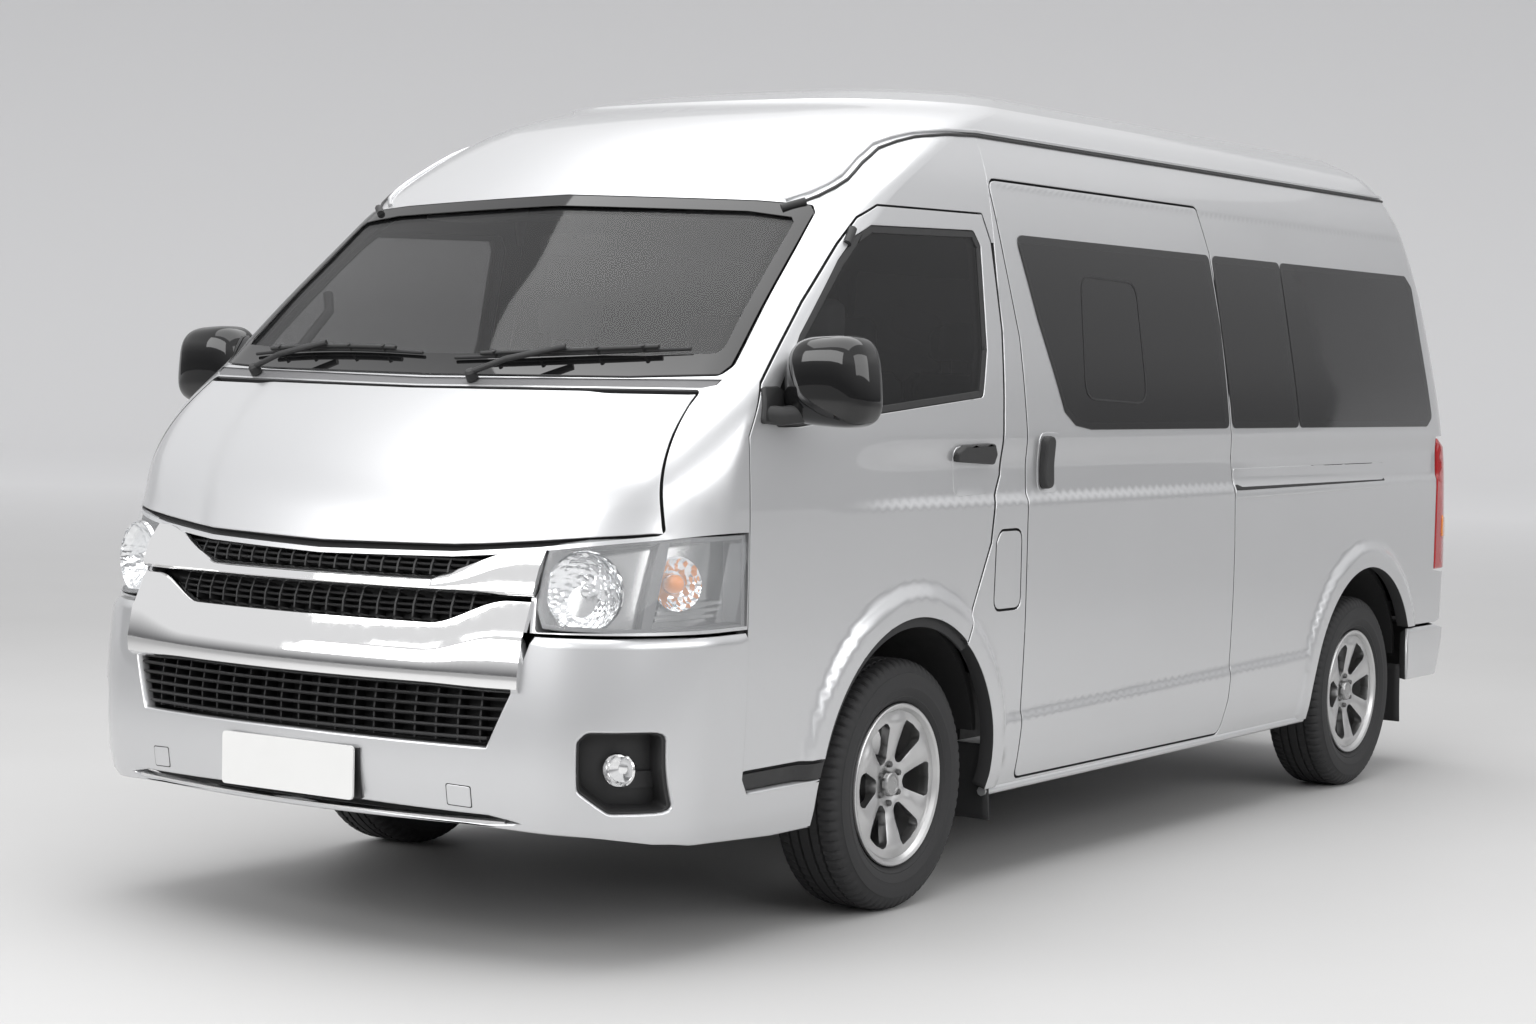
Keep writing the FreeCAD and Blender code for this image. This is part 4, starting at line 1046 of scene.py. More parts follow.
# %% Lamps
lamp_loop = on_nose(open_fine([(0.668, 0.815), (0.646, 0.860), (0.641, 0.949), (0.643, 0.996),
                               (0.668, 1.012), (0.735, 1.024), (0.854, 1.031)]))
lamp_loop += on_side(open_fine([(-2.30, 1.032), (-2.128, 1.034), (-2.122, 0.806), (-2.30, 0.803)]))
lamp_loop += on_nose(open_fine([(0.86, 0.806), (0.70, 0.812)]))
divider = float(from_nose(0.874, 0.92))


def welded(made, angle):
    """Merge the points that meet on a closed form and finish its mesh."""
    build = bmesh.new()
    build.from_mesh(made.data)
    bmesh.ops.remove_doubles(build, verts=build.verts, dist=1e-6)
    build.to_mesh(made.data)
    build.free()
    finish_mesh(made, angle)
    return made


def lathe(name, profile, centre, axis, body, material, segments=48, angle=35):
    """Turned piece from (distance along the axis, radius) pairs."""
    axis = Vector(axis).normalized()
    turn = axis.to_track_quat("Z", "Y").to_matrix()
    points, faces = [], []
    for k in range(segments):
        a = 2 * math.pi * k / segments
        points += [tuple(Vector(centre) + turn @ Vector((r * math.cos(a), r * math.sin(a), d)))
                   for d, r in profile]
    count = len(profile)
    for k in range(segments):
        n = (k + 1) % segments
        faces += [(k * count + j, k * count + j + 1, n * count + j + 1, n * count + j)
                  for j in range(count - 1)]
    return welded(make_piece(name, points, faces, None, None, [material], body), angle)


def lifted(found, across, z, lift):
    """Point over the body and its normal, from a place in one flat view."""
    across, z = np.array([across]), np.array([z])
    w = found(across, z)
    normal = tangent_frame(w, z, bare_skin)[0]
    return Vector(bare_skin(w, z)[0] + normal * lift), Vector(normal)


def surface_point(x, z, lift=0.0):
    return lifted(from_nose, x, z, lift)


for side, word in SIDES:
    tray = panel(f"headlamp_tray_{word}", [lamp_loop], "body", [finishes["reflector"]],
                 lift=-0.058, wall=0.006, side=side)
    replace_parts(tray, "front_lamps")
    panel(f"headlamp_bezel_{word}", [lamp_loop, grown(lamp_loop, -0.012)], "body", [finishes["lamp_grey"]],
          lift=-0.004, wall=0.056, side=side)
    panel(f"headlamp_lens_{word}", [lamp_loop], "body", [finishes["lens"]], wall=0.003,
          side=side, lift=0.001, step=0.05)
    panel(f"headlamp_divider_{word}", [[(divider - 0.012, 0.815), (divider + 0.006, 0.815),
                                        (divider + 0.006, 1.026), (divider - 0.012, 1.026)]], "body",
          [finishes["lamp_grey"]], lift=-0.008, wall=0.050, side=side)
    centre, normal = surface_point(0.752, 0.915, -0.050)
    forward = Vector((0.28, -1.0, 0.02)).normalized()
    centre.x, forward.x, normal.x = centre.x * side, forward.x * side, normal.x * side
    bowl = [(-0.012 + 0.045 * (r / 0.092) ** 2, r) for r in (0.018, 0.03, 0.045, 0.06, 0.075, 0.086, 0.092)]
    bowl += [(0.040, 0.095), (0.030, 0.098)]
    lathe(f"headlamp_bowl_{word}", bowl, centre, forward, "body", finishes["facets"], 36, 12)
    lathe(f"headlamp_bulb_{word}", [(-0.012, 0.018), (0.006, 0.016), (0.020, 0.016), (0.028, 0.010),
                                    (0.030, 0.0)], centre, forward, "body", chrome, 24)
    centre, normal = surface_point(0.905, 0.925, -0.046)
    centre.x, normal.x = centre.x * side, normal.x * side
    lathe(f"indicator_bulb_{word}", [(-0.01, 0.020), (0.010, 0.024), (0.026, 0.021), (0.036, 0.012),
                                     (0.039, 0.0)], centre, normal, "body", finishes["amber"],
          24)
    lathe(f"indicator_bowl_{word}", [(-0.008, 0.022), (-0.004, 0.034), (0.004, 0.046), (0.016, 0.058),
                                     (0.026, 0.066)], centre, normal, "body", finishes["facets"],
          24, 12)
    for level in range(3):
        low = 0.834 + 0.016 * level
        panel(f"headlamp_step_{word}_{level}", [[(divider + 0.02, low), (divider + 0.20, low),
                                                 (divider + 0.20, low + 0.010),
                                                 (divider + 0.02, low + 0.010)]], "body",
              [finishes["reflector"]], lift=-0.046 + 0.006 * level, wall=0.010, roll=0.002,
              side=side, step=0.06)
    for k in range(9):
        y = -2.215 + 0.0095 * k
        w = float(from_side(np.array([y]), np.array([0.92]))[0])
        panel(f"headlamp_flute_{word}_{k}", [[(w - 0.002, 0.826), (w + 0.002, 0.826), (w + 0.002, 1.014),
                                              (w - 0.002, 1.014)]], "body", [finishes["lens"]],
              lift=-0.003, wall=0.004, roll=0.001, side=side, step=0.1)
    panel(f"fog_duct_{word}", [ring_line(FOG_RECESS, 0.02, 0.012)], "body", [black], lift=-0.055,
          wall=0.006, side=side)
    panel(f"fog_liner_{word}", [ring_line(FOG_RECESS, 0.02, 0.004), ring_line(FOG_RECESS, 0.02, -0.004)],
          "body", [black], lift=0.004, wall=0.06, roll=0.001, side=side)
    centre, normal = surface_point(0.856, 0.486, -0.040)
    centre.x = centre.x * side
    forward = Vector((0.30 * side, -1, 0)).normalized()
    lathe(f"fog_shell_{word}", [(-0.015, 0.030), (0.012, 0.038), (0.028, 0.041), (0.032, 0.038),
                                (0.026, 0.035), (0.010, 0.030), (0.0, 0.012), (0.002, 0.0)], centre,
          forward, "body", chrome)
    lathe(f"fog_lens_{word}", [(0.027, 0.0365), (0.032, 0.032), (0.036, 0.020), (0.038, 0.0)], centre,
          forward, "body", finishes["lens"], 32)

# %% [markdown]
# ## Wheels
# Six broad cast spokes on a stepped rim, painted silver, with a plain round cap and recessed nuts. The tyre
# has four grooves round it, cross cuts in its shoulders and rings moulded in its walls.

# %% Wheels
TYRE_RADIUS, HALF_WIDTH, RIM_LIP, RIM_SEAT = 0.336, 0.103, 0.216, 0.204
SPOKES = 6
BLOCKS = 72


def groove(depth, start, width=0.008):
    """Tread profile points across one groove."""
    return [(start, TYRE_RADIUS), (start + 0.0015, TYRE_RADIUS - depth),
            (start + width - 0.0015, TYRE_RADIUS - depth), (start + width, TYRE_RADIUS)]


def tyre(label, centre, side):
    wall_out = [(0.061, TYRE_RADIUS), (0.075, TYRE_RADIUS - 0.003), (0.085, TYRE_RADIUS - 0.009),
                (0.094, TYRE_RADIUS - 0.020), (0.0985, TYRE_RADIUS - 0.034), (0.1005, 0.300),
                (0.1020, 0.299), (HALF_WIDTH, 0.285), (HALF_WIDTH, 0.272), (0.1015, 0.262), (0.1020, 0.260),
                (0.0975, 0.246), (0.093, 0.238), (0.0935, 0.235), (0.084, 0.224), (0.076, 0.218),
                (0.070, 0.212), (0.068, RIM_SEAT)]
    profile = [(-d, r) for d, r in reversed(wall_out)]
    for start in (-0.050, -0.021, 0.013, 0.042):
        profile += groove(0.008, start)
    profile += wall_out
    points, faces, count = [], [], len(profile)
    segments = BLOCKS * 4
    for k in range(segments):
        a = 2 * math.pi * k / segments
        for d, r in profile:
            shoulder = 0.056 < abs(d) < 0.097 and r > 0.300 and k % 4 == 0
            rib = 0.029 < abs(d) < 0.056 and r > TYRE_RADIUS - 0.001 and k % 4 == 2
            depth = 0.006 * shoulder + 0.004 * rib
            lean = a + 0.25 * d
            points.append((centre[0] + side * d, centre[1] + (r - depth) * math.cos(lean),
                           centre[2] + (r - depth) * math.sin(lean)))
        n = (k + 1) % segments
        faces += [(k * count + j, n * count + j, n * count + j + 1, k * count + j + 1)
                  for j in range(count - 1)]
    made = make_piece(f"tyre_{label}_tread", points, faces, None, None, [finishes["tyre"]],
                      f"wheel_{label}")
    finish_mesh(made, 28)
    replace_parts(made, f"tyre_{label}")


def spoke_window():
    """One opening between two spokes, widest near the rim, about the first spoke gap."""
    outline = [(0.070, -0.017), (0.100, -0.029), (0.150, -0.047), (0.172, -0.043), (0.177, 0.0),
               (0.172, 0.043), (0.150, 0.047), (0.100, 0.029), (0.070, 0.017), (0.064, 0.0)]
    return rounded(outline, 0.016)


def wheel_face(r, angle):
    """Outward place of the cast disc's face."""
    dish = 0.052 + 0.010 * float(ease(r, 0.03, 0.07)) + 0.016 * float(ease(r, 0.08, 0.185))
    ridge = 0.5 + 0.5 * math.cos(angle * SPOKES + math.pi)
    return dish + 0.010 * ridge ** 1.5 * float(ease(r, 0.055, 0.10)) * float(ease(-r, -0.196, -0.165))


def wheel(label, centre, side):
    body = f"wheel_{label}"
    loops = [arc((0, 0), 0.198, 0, 360, 96)[:-1]]
    for k in range(SPOKES):
        turn = 2 * math.pi * k / SPOKES
        loops.append([(u * math.cos(turn) - v * math.sin(turn), u * math.sin(turn) + v * math.cos(turn))
                      for u, v in fine(spoke_window(), 0.008)])
    flat, faces = filled(loops, 0.008)
    points = []
    for u, v in flat:
        d = wheel_face(math.hypot(u, v), math.atan2(v, u))
        points.append((centre[0] + side * d, centre[1] + u, centre[2] + v))
    disc = make_piece(f"spokes_{label}", points, faces, None, None, [finishes["alloy"]], body)
    finish_mesh(disc, 50)
    thickened(disc, 0.030, -1 if disc.data.polygons[0].normal.x * side > 0 else 1)
    bevel = disc.modifiers.new("cast_edges", "BEVEL")
    bevel.width = 0.003
    bevel.segments = 3
    bevel.angle_limit = math.radians(50)
    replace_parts(disc, f"wheel_{label}")
    rim = [(-0.082, 0.214), (-0.078, RIM_LIP), (-0.074, 0.207), (-0.060, 0.200), (0.060, 0.200),
           (0.074, 0.206), (0.0785, RIM_LIP), (0.084, RIM_LIP + 0.003), (0.089, RIM_LIP + 0.001),
           (0.091, 0.214), (0.088, 0.206), (0.080, 0.200), (0.074, 0.196), (0.050, 0.190), (-0.060, 0.192),
           (-0.082, 0.206), (-0.082, 0.214)]
    lathe(f"rim_{label}", rim, centre, (side, 0, 0), body, finishes["alloy"], 96, 30)
    lathe(f"hub_cap_{label}", [(0.060, 0.034), (0.070, 0.033), (0.0735, 0.030), (0.0745, 0.022),
                               (0.0735, 0.0215), (0.0735, 0.006), (0.0735, 0.0)], centre, (side, 0, 0),
          body, finishes["cap"])
    lathe(f"brake_disc_{label}", [(-0.055, 0.066), (-0.056, 0.128), (-0.060, 0.130), (-0.076, 0.128),
                                  (-0.076, 0.066)], centre, (side, 0, 0), body, finishes["iron"])
    lathe(f"hub_bell_{label}", [(-0.060, 0.075), (0.030, 0.072), (0.040, 0.064), (0.040, 0.0)], centre,
          (side, 0, 0), body, finishes["iron"])
    for k in range(SPOKES):
        turn = 2 * math.pi * (k + 0.5) / SPOKES
        place = (centre[0] + side * 0.046, centre[1] + 0.052 * math.cos(turn), centre[2]
                 + 0.052 * math.sin(turn))
        lathe(f"wheel_nut_{label}_{k}", [(0.0, 0.010), (0.018, 0.009), (0.021, 0.007), (0.021, 0.0)], place,
              (side, 0, 0), body, finishes["iron"], 6)


HALF_TRACK = 0.812
for label, side, axle in (("fl", 1, FRONT_AXLE), ("fr", -1, FRONT_AXLE),
                          ("rl", 1, REAR_AXLE), ("rr", -1, REAR_AXLE)):
    hub = (side * HALF_TRACK, axle, AXLE_HEIGHT)
    tyre(label, hub, side)
    wheel(label, hub, side)

# %% [markdown]
# ## Glass surrounds, gutter and small trim
# The screen has a printed black edge; the roof seam is a black gutter with end caps; handles, mirrors, rail
# and wipers are separate mouldings fixed to the panels.

# %% Glass surrounds, gutter and small trim
SCREEN = [(0.0, 1.402), (0.600, 1.407), (0.826, 1.417), (0.836, 1.440), (0.769, 1.840), (0.752, 1.858),
          (0.600, 1.870), (0.0, 1.892)]
SCREEN_INSIDE = [(0.0, 1.455), (0.600, 1.458), (0.785, 1.468), (0.794, 1.484), (0.742, 1.812),
                 (0.728, 1.826), (0.600, 1.842), (0.0, 1.862)]
panel("windscreen_frit", [nose_loop(SCREEN), nose_loop(SCREEN_INSIDE)], "body", [finishes["gloss_black"]],
      lift=0.0025, wall=0.003, roll=0.001)
COWL = [(0.0, 1.374), (0.806, 1.380), (0.834, 1.390), (0.836, 1.408), (0.600, 1.408), (0.0, 1.402)]
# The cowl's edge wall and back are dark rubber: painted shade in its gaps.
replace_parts(panel("cowl_grille", [nose_loop(COWL)], "body", [finishes["cowl_grey"], rubber_and_gap_shade],
                  lift=-0.003, wall=0.02), "cowl_panel")


def tube(name, path, radius, body, material, sides=10):
    """Round bar along a path, with closed ends."""
    curve = bpy.data.curves.new(name, "CURVE")
    curve.dimensions = "3D"
    spline = curve.splines.new("POLY")
    spline.points.add(len(path) - 1)
    for point, co in zip(spline.points, path):
        point.co = (*co, 1)
    curve.bevel_depth = radius
    curve.bevel_resolution = max(1, sides // 4)
    curve.use_fill_caps = True
    made = bpy.data.objects.new(name, curve)
    scene.collection.objects.link(made)
    curve.materials.append(material)
    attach(made, body)
    return made


def over_nose(points, lift):
    return [tuple(surface_point(x, z, lift)[0]) for x, z in points]


def over_side(points, lift, side=1):
    places = [lifted(from_side, y, z, lift)[0] for y, z in points]
    return [(side * p.x, p.y, p.z) for p in places]


WIPER_LINES = (((-0.700, 1.436), (-0.430, 1.462), (-0.060, 1.448)),
               ((0.060, 1.437), (0.400, 1.452), (0.720, 1.472)))
for number, (start, middle, end) in enumerate(WIPER_LINES):
    blade_path = [tuple(Vector(start) * (1 - t) ** 2 + Vector(middle) * 2 * t * (1 - t)
                        + Vector(end) * t * t) for t in (k / 16 for k in range(17))]
    tube(f"wiper_rubber_{number}", over_nose(blade_path, 0.010), 0.0045, "body", rubber_and_gap_shade)
    tube(f"wiper_bow_{number}", over_nose(blade_path[2:-2], 0.022), 0.0055, "body", black)
    for k in (3, 6, 10, 13):
        a, b = over_nose([blade_path[k]], 0.008)[0], over_nose([blade_path[k]], 0.030)[0]
        tube(f"wiper_claw_{number}_{k}", [a, b], 0.006, "body", black)
    foot = (start[0] + (0.06 if number == 0 else 0.10), 1.392)
    arm = [(foot[0], foot[1]), (foot[0] + 0.10, 1.412), (blade_path[8][0], blade_path[8][1])]
    tube(f"wiper_arm_{number}", [over_nose([p], h)[0] for p, h in zip(arm, (0.020, 0.042, 0.034))], 0.008,
         "body", black)
    centre, normal = surface_point(foot[0], foot[1], 0.0)
    lathe(f"wiper_pivot_{number}", [(0.0, 0.016), (0.022, 0.015), (0.028, 0.010), (0.029, 0.0)], centre,
          normal, "body", black, 24)

GUTTER = [(-1.600, 1.862), (-1.450, 1.935), (-1.360, 1.986), (-1.268, 2.031), (-1.190, 2.055),
          (-1.114, 2.073), (-0.980, 2.090), (-0.824, 2.099), (0.4, 2.100), (1.4, 2.100), (2.20, 2.100)]
for side, word in SIDES:
    tube(f"gutter_{word}", over_side(open_fine(GUTTER, 0.06), 0.002, side), 0.0045, "body", black)
    tube(f"gutter_lip_{word}", over_side([(y, z + 0.012) for y, z in open_fine(GUTTER, 0.06)], 0.003, side),
         0.007, "body", paint)
    tube(f"gutter_cap_{word}", over_side([(-1.640, 1.848), (-1.585, 1.868)], 0.004, side), 0.011, "body",
         black)
    tube(f"pillar_vent_{word}", over_side([(-1.585, 1.760), (-1.545, 1.800)], 0.001, side), 0.012, "body",
         black)
    tube(f"sill_strip_{word}", over_side([(-0.872, 0.270), (0.2, 0.274), (1.330, 0.280)], 0.004, side),
         0.014, "body", paint)
    body = f"front_door_{word}"
    # Door handle: bowl and flap
    panel(f"handle_bowl_{word}", [opening([(-1.120, 1.100), (-0.930, 1.105), (-0.915, 1.245),
                                           (-1.130, 1.235)], 0.03)], body, [paint], lift=0.0016,
          wall=0.003, roll=0.0016, side=side)
    flap = [(-1.128, 1.196), (-0.925, 1.186), (-0.912, 1.216), (-0.930, 1.244), (-1.085, 1.240),
            (-1.126, 1.222)]
    panel(f"handle_flap_{word}", [opening(flap, 0.012)], body, [black], lift=0.020, wall=0.022,
          roll=0.006, side=side)


def superellipsoid(name, centre, half, power, body, material, shape=None, turns=(40, 24)):
    """Closed rounded block; shape(p) may bend its unit points."""
    def signed(value, p):
        return math.copysign(abs(value) ** p, value)
    points, faces = [], []
    around, rows = turns
    for j in range(rows + 1):
        v = -math.pi / 2 + math.pi * j / rows
        for k in range(around):
            u = 2 * math.pi * k / around
            unit = Vector((signed(math.cos(v), power) * signed(math.cos(u), power),
                           signed(math.cos(v), power) * signed(math.sin(u), power),
                           signed(math.sin(v), power)))
            unit = shape(unit) if shape else unit
            points.append(tuple(Vector(centre) + Vector((unit.x * half[0], unit.y * half[1],
                                                         unit.z * half[2]))))
    for j in range(rows):
        for k in range(around):
            n = (k + 1) % around
            faces.append((j * around + k, j * around + n, (j + 1) * around + n, (j + 1) * around + k))
    return welded(make_piece(name, points, faces, None, None, [material], body), 60)


def mirror_shape(p):
    """Flat glass side towards the driver, fuller nose side, lower edge tucked in."""
    return Vector((p.x * (1 - 0.10 * p.z), p.y * (1.0 if p.y < 0 else 0.45) + 0.12 * p.x * p.x,
                   p.z * (1 + 0.06 * p.x)))


for side, word in SIDES:
    body = f"front_door_{word}"
    head = superellipsoid(f"mirror_shell_{word}", (side * 1.040, -1.905, 1.408), (0.122, 0.088, 0.112),
                          0.55, body, finishes["gloss_black"], mirror_shape)
    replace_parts(head, f"mirror_{word}")
    tube(f"mirror_foot_{word}", [(side * 0.912, -2.035, 1.325), (side * 0.950, -2.00, 1.320),
                                 (side * 0.995, -1.94, 1.330)], 0.024, body, black, 16)
    panel(f"mirror_base_{word}", [opening([(-2.060, 1.300), (-1.935, 1.300), (-1.945, 1.372),
                                           (-1.985, 1.392), (-2.035, 1.388)], 0.012)], body, [black],
          lift=0.012, wall=0.020, roll=0.006, side=side)
    pane = [(side * 1.040 + 0.094 * math.copysign(abs(math.cos(a)) ** 0.5, math.cos(a)), -1.861,
             1.408 + 0.080 * math.copysign(abs(math.sin(a)) ** 0.5, math.sin(a)))
            for a in (2 * math.pi * k / 48 for k in range(48))]
    thickened(make_piece(f"mirror_glass_{word}", pane, [tuple(range(48))], None, None,
                         [finishes["silvered"]], body, smooth=False), 0.004)

panel("slide_handle_bowl", [opening([(-0.650, 1.100), (-0.520, 1.100), (-0.520, 1.272), (-0.650, 1.272)],
                                    0.035)], "body", [paint], lift=0.0016, wall=0.003, roll=0.0016)
panel("slide_handle_grip", [opening([(-0.640, 1.112), (-0.585, 1.112), (-0.585, 1.262), (-0.640, 1.262)],
                                    0.024)], "body", [black], lift=0.024, wall=0.026, roll=0.008)
RAIL = [(0.668, 1.052), (1.955, 1.063), (1.937, 1.152), (0.666, 1.149)]
panel("slide_rail_cover", [opening(RAIL, 0.006)], "body", [paint], lift=0.002, wall=0.003,
      roll=0.002)
# Thin black strip on the rail cover stands for the slot: painted shade of the slot's opening.
panel("slide_rail_slot", [opening([(0.672, 1.078), (1.935, 1.086), (1.930, 1.104), (0.672, 1.096)], 0.004)],
      "body", [rubber_and_gap_shade], lift=0.0026, wall=0.002, roll=0.0006)
inset = [(-0.363, 1.366), (0.042, 1.352), (0.030, 1.722), (-0.330, 1.732)]
panel("slide_pane_frame", [opening(inset, 0.06), opening(inset, 0.06, -0.006)], "body", [rubber_and_gap_shade],
      lift=0.0045, wall=0.002, roll=0.0006)
for side, word in SIDES:
    panel(f"side_glass_frit_{word}", [opening([(0.590, 1.282), (0.700, 1.282), (0.640, 1.826),
                                               (0.548, 1.826)], 0.004)], "body", [rubber_and_gap_shade],
          lift=-0.010, wall=0.003, roll=0.0006, side=side)

# %% [markdown]
# ## Tail
# The tailgate is one tall pressing with a bonded window, a bright handle bar over the number plate and
# upright lamps at the corners. The bumper below it wraps round to the wheel openings.

# %% Tail
WHOLE_TURN = 2 * STRETCHES[5]


def both_tail(half_loop):
    """Full loop round the tail from its left half."""
    return half_loop + [(WHOLE_TURN - w, z) for w, z in reversed(half_loop) if WHOLE_TURN - 2 * w > 1e-6]


TAILGATE = [(0.0, 0.562), (0.765, 0.562), (0.795, 0.606), (0.795, 1.300), (0.765, 1.600), (0.730, 1.900),
            (0.685, 2.055), (0.0, 2.068)]
TAIL_WINDOW = [(0.0, 1.300), (0.700, 1.306), (0.716, 1.340), (0.650, 1.800), (0.620, 1.830), (0.0, 1.842)]
tail_glass = both_tail(on_tail(open_fine(TAIL_WINDOW)))
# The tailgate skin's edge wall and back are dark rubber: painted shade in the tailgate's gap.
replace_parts(panel("tailgate_skin", [both_tail(on_tail(open_fine(TAILGATE))), grown(tail_glass, -0.022)],
                  "tailgate", [paint, rubber_and_gap_shade], step=(0.04, 0.02)), "tailgate")
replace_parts(panel("tailgate_window", [grown(tail_glass, 0.0)], "tailgate", [finishes["privacy"]],
                  wall=0.005, lift=0.003, roll=0.0015), "tailgate_glass")
# Dark strip behind the tailgate's gap: partly the real weatherstrip, partly painted shade that darkens the
# gap.
panel("tailgate_seal", [both_tail(on_tail(grown(open_fine(TAILGATE), 0.02))), both_tail(on_tail(grown(
    open_fine(TAILGATE), -0.02)))], "body", [rubber_and_gap_shade], wall=0.008, lift=-0.016)
low_half = on_side(open_fine([(2.236, 0.345), (2.45,
                                               0.345)])) + on_tail(open_fine([(0.80, 0.345), (0.0, 0.345)]))
top_half = on_side(open_fine([(2.184, 0.540), (2.45,
                                               0.540)])) + on_tail(open_fine([(0.80, 0.545), (0.0, 0.552)]))
rear_surface = proud(0.012, 0.10, 0.552, 0.02)
rear_loop = low_half + [(WHOLE_TURN - w, z) for w, z in reversed(low_half[:-1])]
rear_loop += [(WHOLE_TURN - w, z) for w, z in top_half] + top_half[::-1][1:]
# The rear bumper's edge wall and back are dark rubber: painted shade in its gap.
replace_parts(panel("rear_bumper_skin", [rear_loop], "body", [paint, rubber_and_gap_shade], surface=rear_surface,
                  roll=0.006, wall=0.03, step=0.025), "rear_bumper")
lamp_rear = (on_side(open_fine([(2.446, 1.234), (2.446, 0.746)]))
             + on_tail(open_fine([(0.818, 0.746), (0.818, 1.234)])))
for side, word in SIDES:
    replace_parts(panel(f"tail_lamp_{word}", [lamp_rear], "body", [finishes["red_lamp"]],
                      side=side, wall=0.012, lift=0.003, roll=0.004), "tail_lamps")
    panel(f"tail_lamp_tray_{word}", [lamp_rear], "body", [finishes["reflector"]], side=side,
          lift=-0.028, wall=0.02)
    for number, (low, high, tint) in enumerate(((0.770, 0.850, "lens"), (0.866, 0.946, "amber"))):
        cell = (on_side(open_fine([(2.500, high), (2.500, low)]))
                + on_tail(open_fine([(0.830, low), (0.830, high)])))
        panel(f"tail_lamp_cell_{word}_{number}", [cell], "body", [finishes[tint]], side=side,
              lift=0.0055, wall=0.004, roll=0.002)


def tail_point(x, z, lift=0.0):
    return tuple(lifted(from_tail, x, z, lift)[0])


tube("tailgate_handle_bar", [tail_point(0.30 * k / 8, 1.055, 0.014) for k in range(-8, 9)], 0.016,
     "tailgate", chrome, 16)
tube("rear_wiper_arm", [tail_point(x, z, h) for x, z, h in ((0.0, 1.262, 0.010), (0.03, 1.30, 0.034),
                                                            (0.30, 1.40, 0.026))], 0.007, "tailgate", black)
tube("rear_wiper_blade", [tail_point(0.10 + 0.045 * k, 1.335 + 0.014 * k, 0.018) for k in range(9)], 0.006,
     "tailgate", black)
lathe("rear_wiper_pivot", [(0.0, 0.020), (0.026, 0.018), (0.030, 0.0)], tail_point(0.0, 1.262), (0, 1, 0),
      "tailgate", black, 24)
tube("high_stop_lamp", [tail_point(0.13 * k / 4, 1.955, 0.006) for k in range(-4, 5)], 0.011, "tailgate",
     finishes["red_lamp"], 16)
plate("number_plate_rear", PLATE_REAR, -1, "tailgate", 0.500)
tube("plate_lamp", [tail_point(x, 1.022, 0.012) for x in (-0.12, 0.12)], 0.010, "tailgate", black)


def flap(name, x, y, lean):
    """Rubber flap hanging behind a wheel."""
    rows, columns = 10, 8
    points = [(x[0] + (x[1] - x[0]) * i / columns, y + lean * (j / rows) ** 2
               + 0.006 * math.sin(math.pi * i / columns), 0.40 - 0.212 * j / rows) for j in range(rows + 1)
              for i in range(columns + 1)]
    faces = [(j * (columns + 1) + i, j * (columns + 1) + i + 1, (j + 1) * (columns + 1) + i + 1,
              (j + 1) * (columns + 1) + i) for j in range(rows) for i in range(columns)]
    return thickened(make_piece(name, points, faces, None, None, [finishes["rubber"]], "body"),
                     0.007)


for side, word in SIDES:
    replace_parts(flap(f"mud_flap_front_{word}", (side * 0.725, side * 0.915), -0.862, 0.012), "mud_flaps")
    flap(f"mud_flap_rear_{word}", (side * 0.715, side * 0.905), 2.226, 0.012)

# %% [markdown]
# ## Cabin
# Seats are foam cushions under stitched cloth: a cloth pass swells each cushion inside its seat, then the
# sewn channels are pressed in. The driver sits on the right behind a three-spoke wheel and a dark fascia.

# %% Cabin
CLOTH_FRAMES = 16


def stuffed(name, size, cap):
    """Mesh of a stuffed cushion of about a given size, centred on the origin."""
    build = bmesh.new()
    bmesh.ops.create_cube(build, size=1)
    bmesh.ops.scale(build, vec=[s - 2 * cap for s in size], verts=build.verts)
    bmesh.ops.bevel(build, geom=list(build.edges), offset=min(size) * 0.28, segments=4, affect="EDGES")
    mesh = bpy.data.meshes.new(name)
    build.to_mesh(mesh)
    build.free()
    work = bpy.data.objects.new(name, mesh)
    scene.collection.objects.link(work)
    remesh = work.modifiers.new("remesh", "REMESH")
    remesh.mode = "VOXEL"
    remesh.voxel_size = 0.014
    bpy.context.view_layer.update()
    graph = bpy.context.evaluated_depsgraph_get()
    dense = bpy.data.meshes.new_from_object(work.evaluated_get(graph))
    work.modifiers.clear()
    work.data = dense
    rest = np.array([v.co[:] for v in dense.vertices])
    swollen = rest
    cloth = work.modifiers.new("cloth", "CLOTH")
    cloth.settings.use_pressure = True
    cloth.settings.uniform_pressure_force = 4
    cloth.settings.effector_weights.gravity = 0
    cloth.settings.quality = 4
    for step in range(1, CLOTH_FRAMES + 1):
        scene.frame_set(step)
    graph = bpy.context.evaluated_depsgraph_get()
    swollen = np.array([v.co[:] for v in work.evaluated_get(graph).data.vertices])
    scene.frame_set(1)
    move = swollen - rest
    length = np.linalg.norm(move, axis=1, keepdims=True)
    final = rest + move * np.minimum(1, cap / np.maximum(length, 1e-9))
    bpy.data.objects.remove(work)
    return final, [tuple(p.vertices) for p in dense.polygons]


def sewn(points, size, across, along):
    """Press sewn channels into a cushion: lines across it and a border along its sides."""
    points = points.copy()
    thin = int(np.argmin(size))
    wide, tall = [k for k in range(3) if k != thin]
    half = np.array(size) / 2
    depth = np.zeros(len(points))
    for place in across:
        depth += 0.007 * np.exp(-((points[:, tall] / half[tall] - place) * half[tall] / 0.007) ** 2)
    for place in along:
        depth += 0.008 * np.exp(-((np.abs(points[:, wide]) / half[wide] - place) * half[wide] / 0.007) ** 2)
    points[:, thin] -= np.sign(points[:, thin]) * depth
    return points


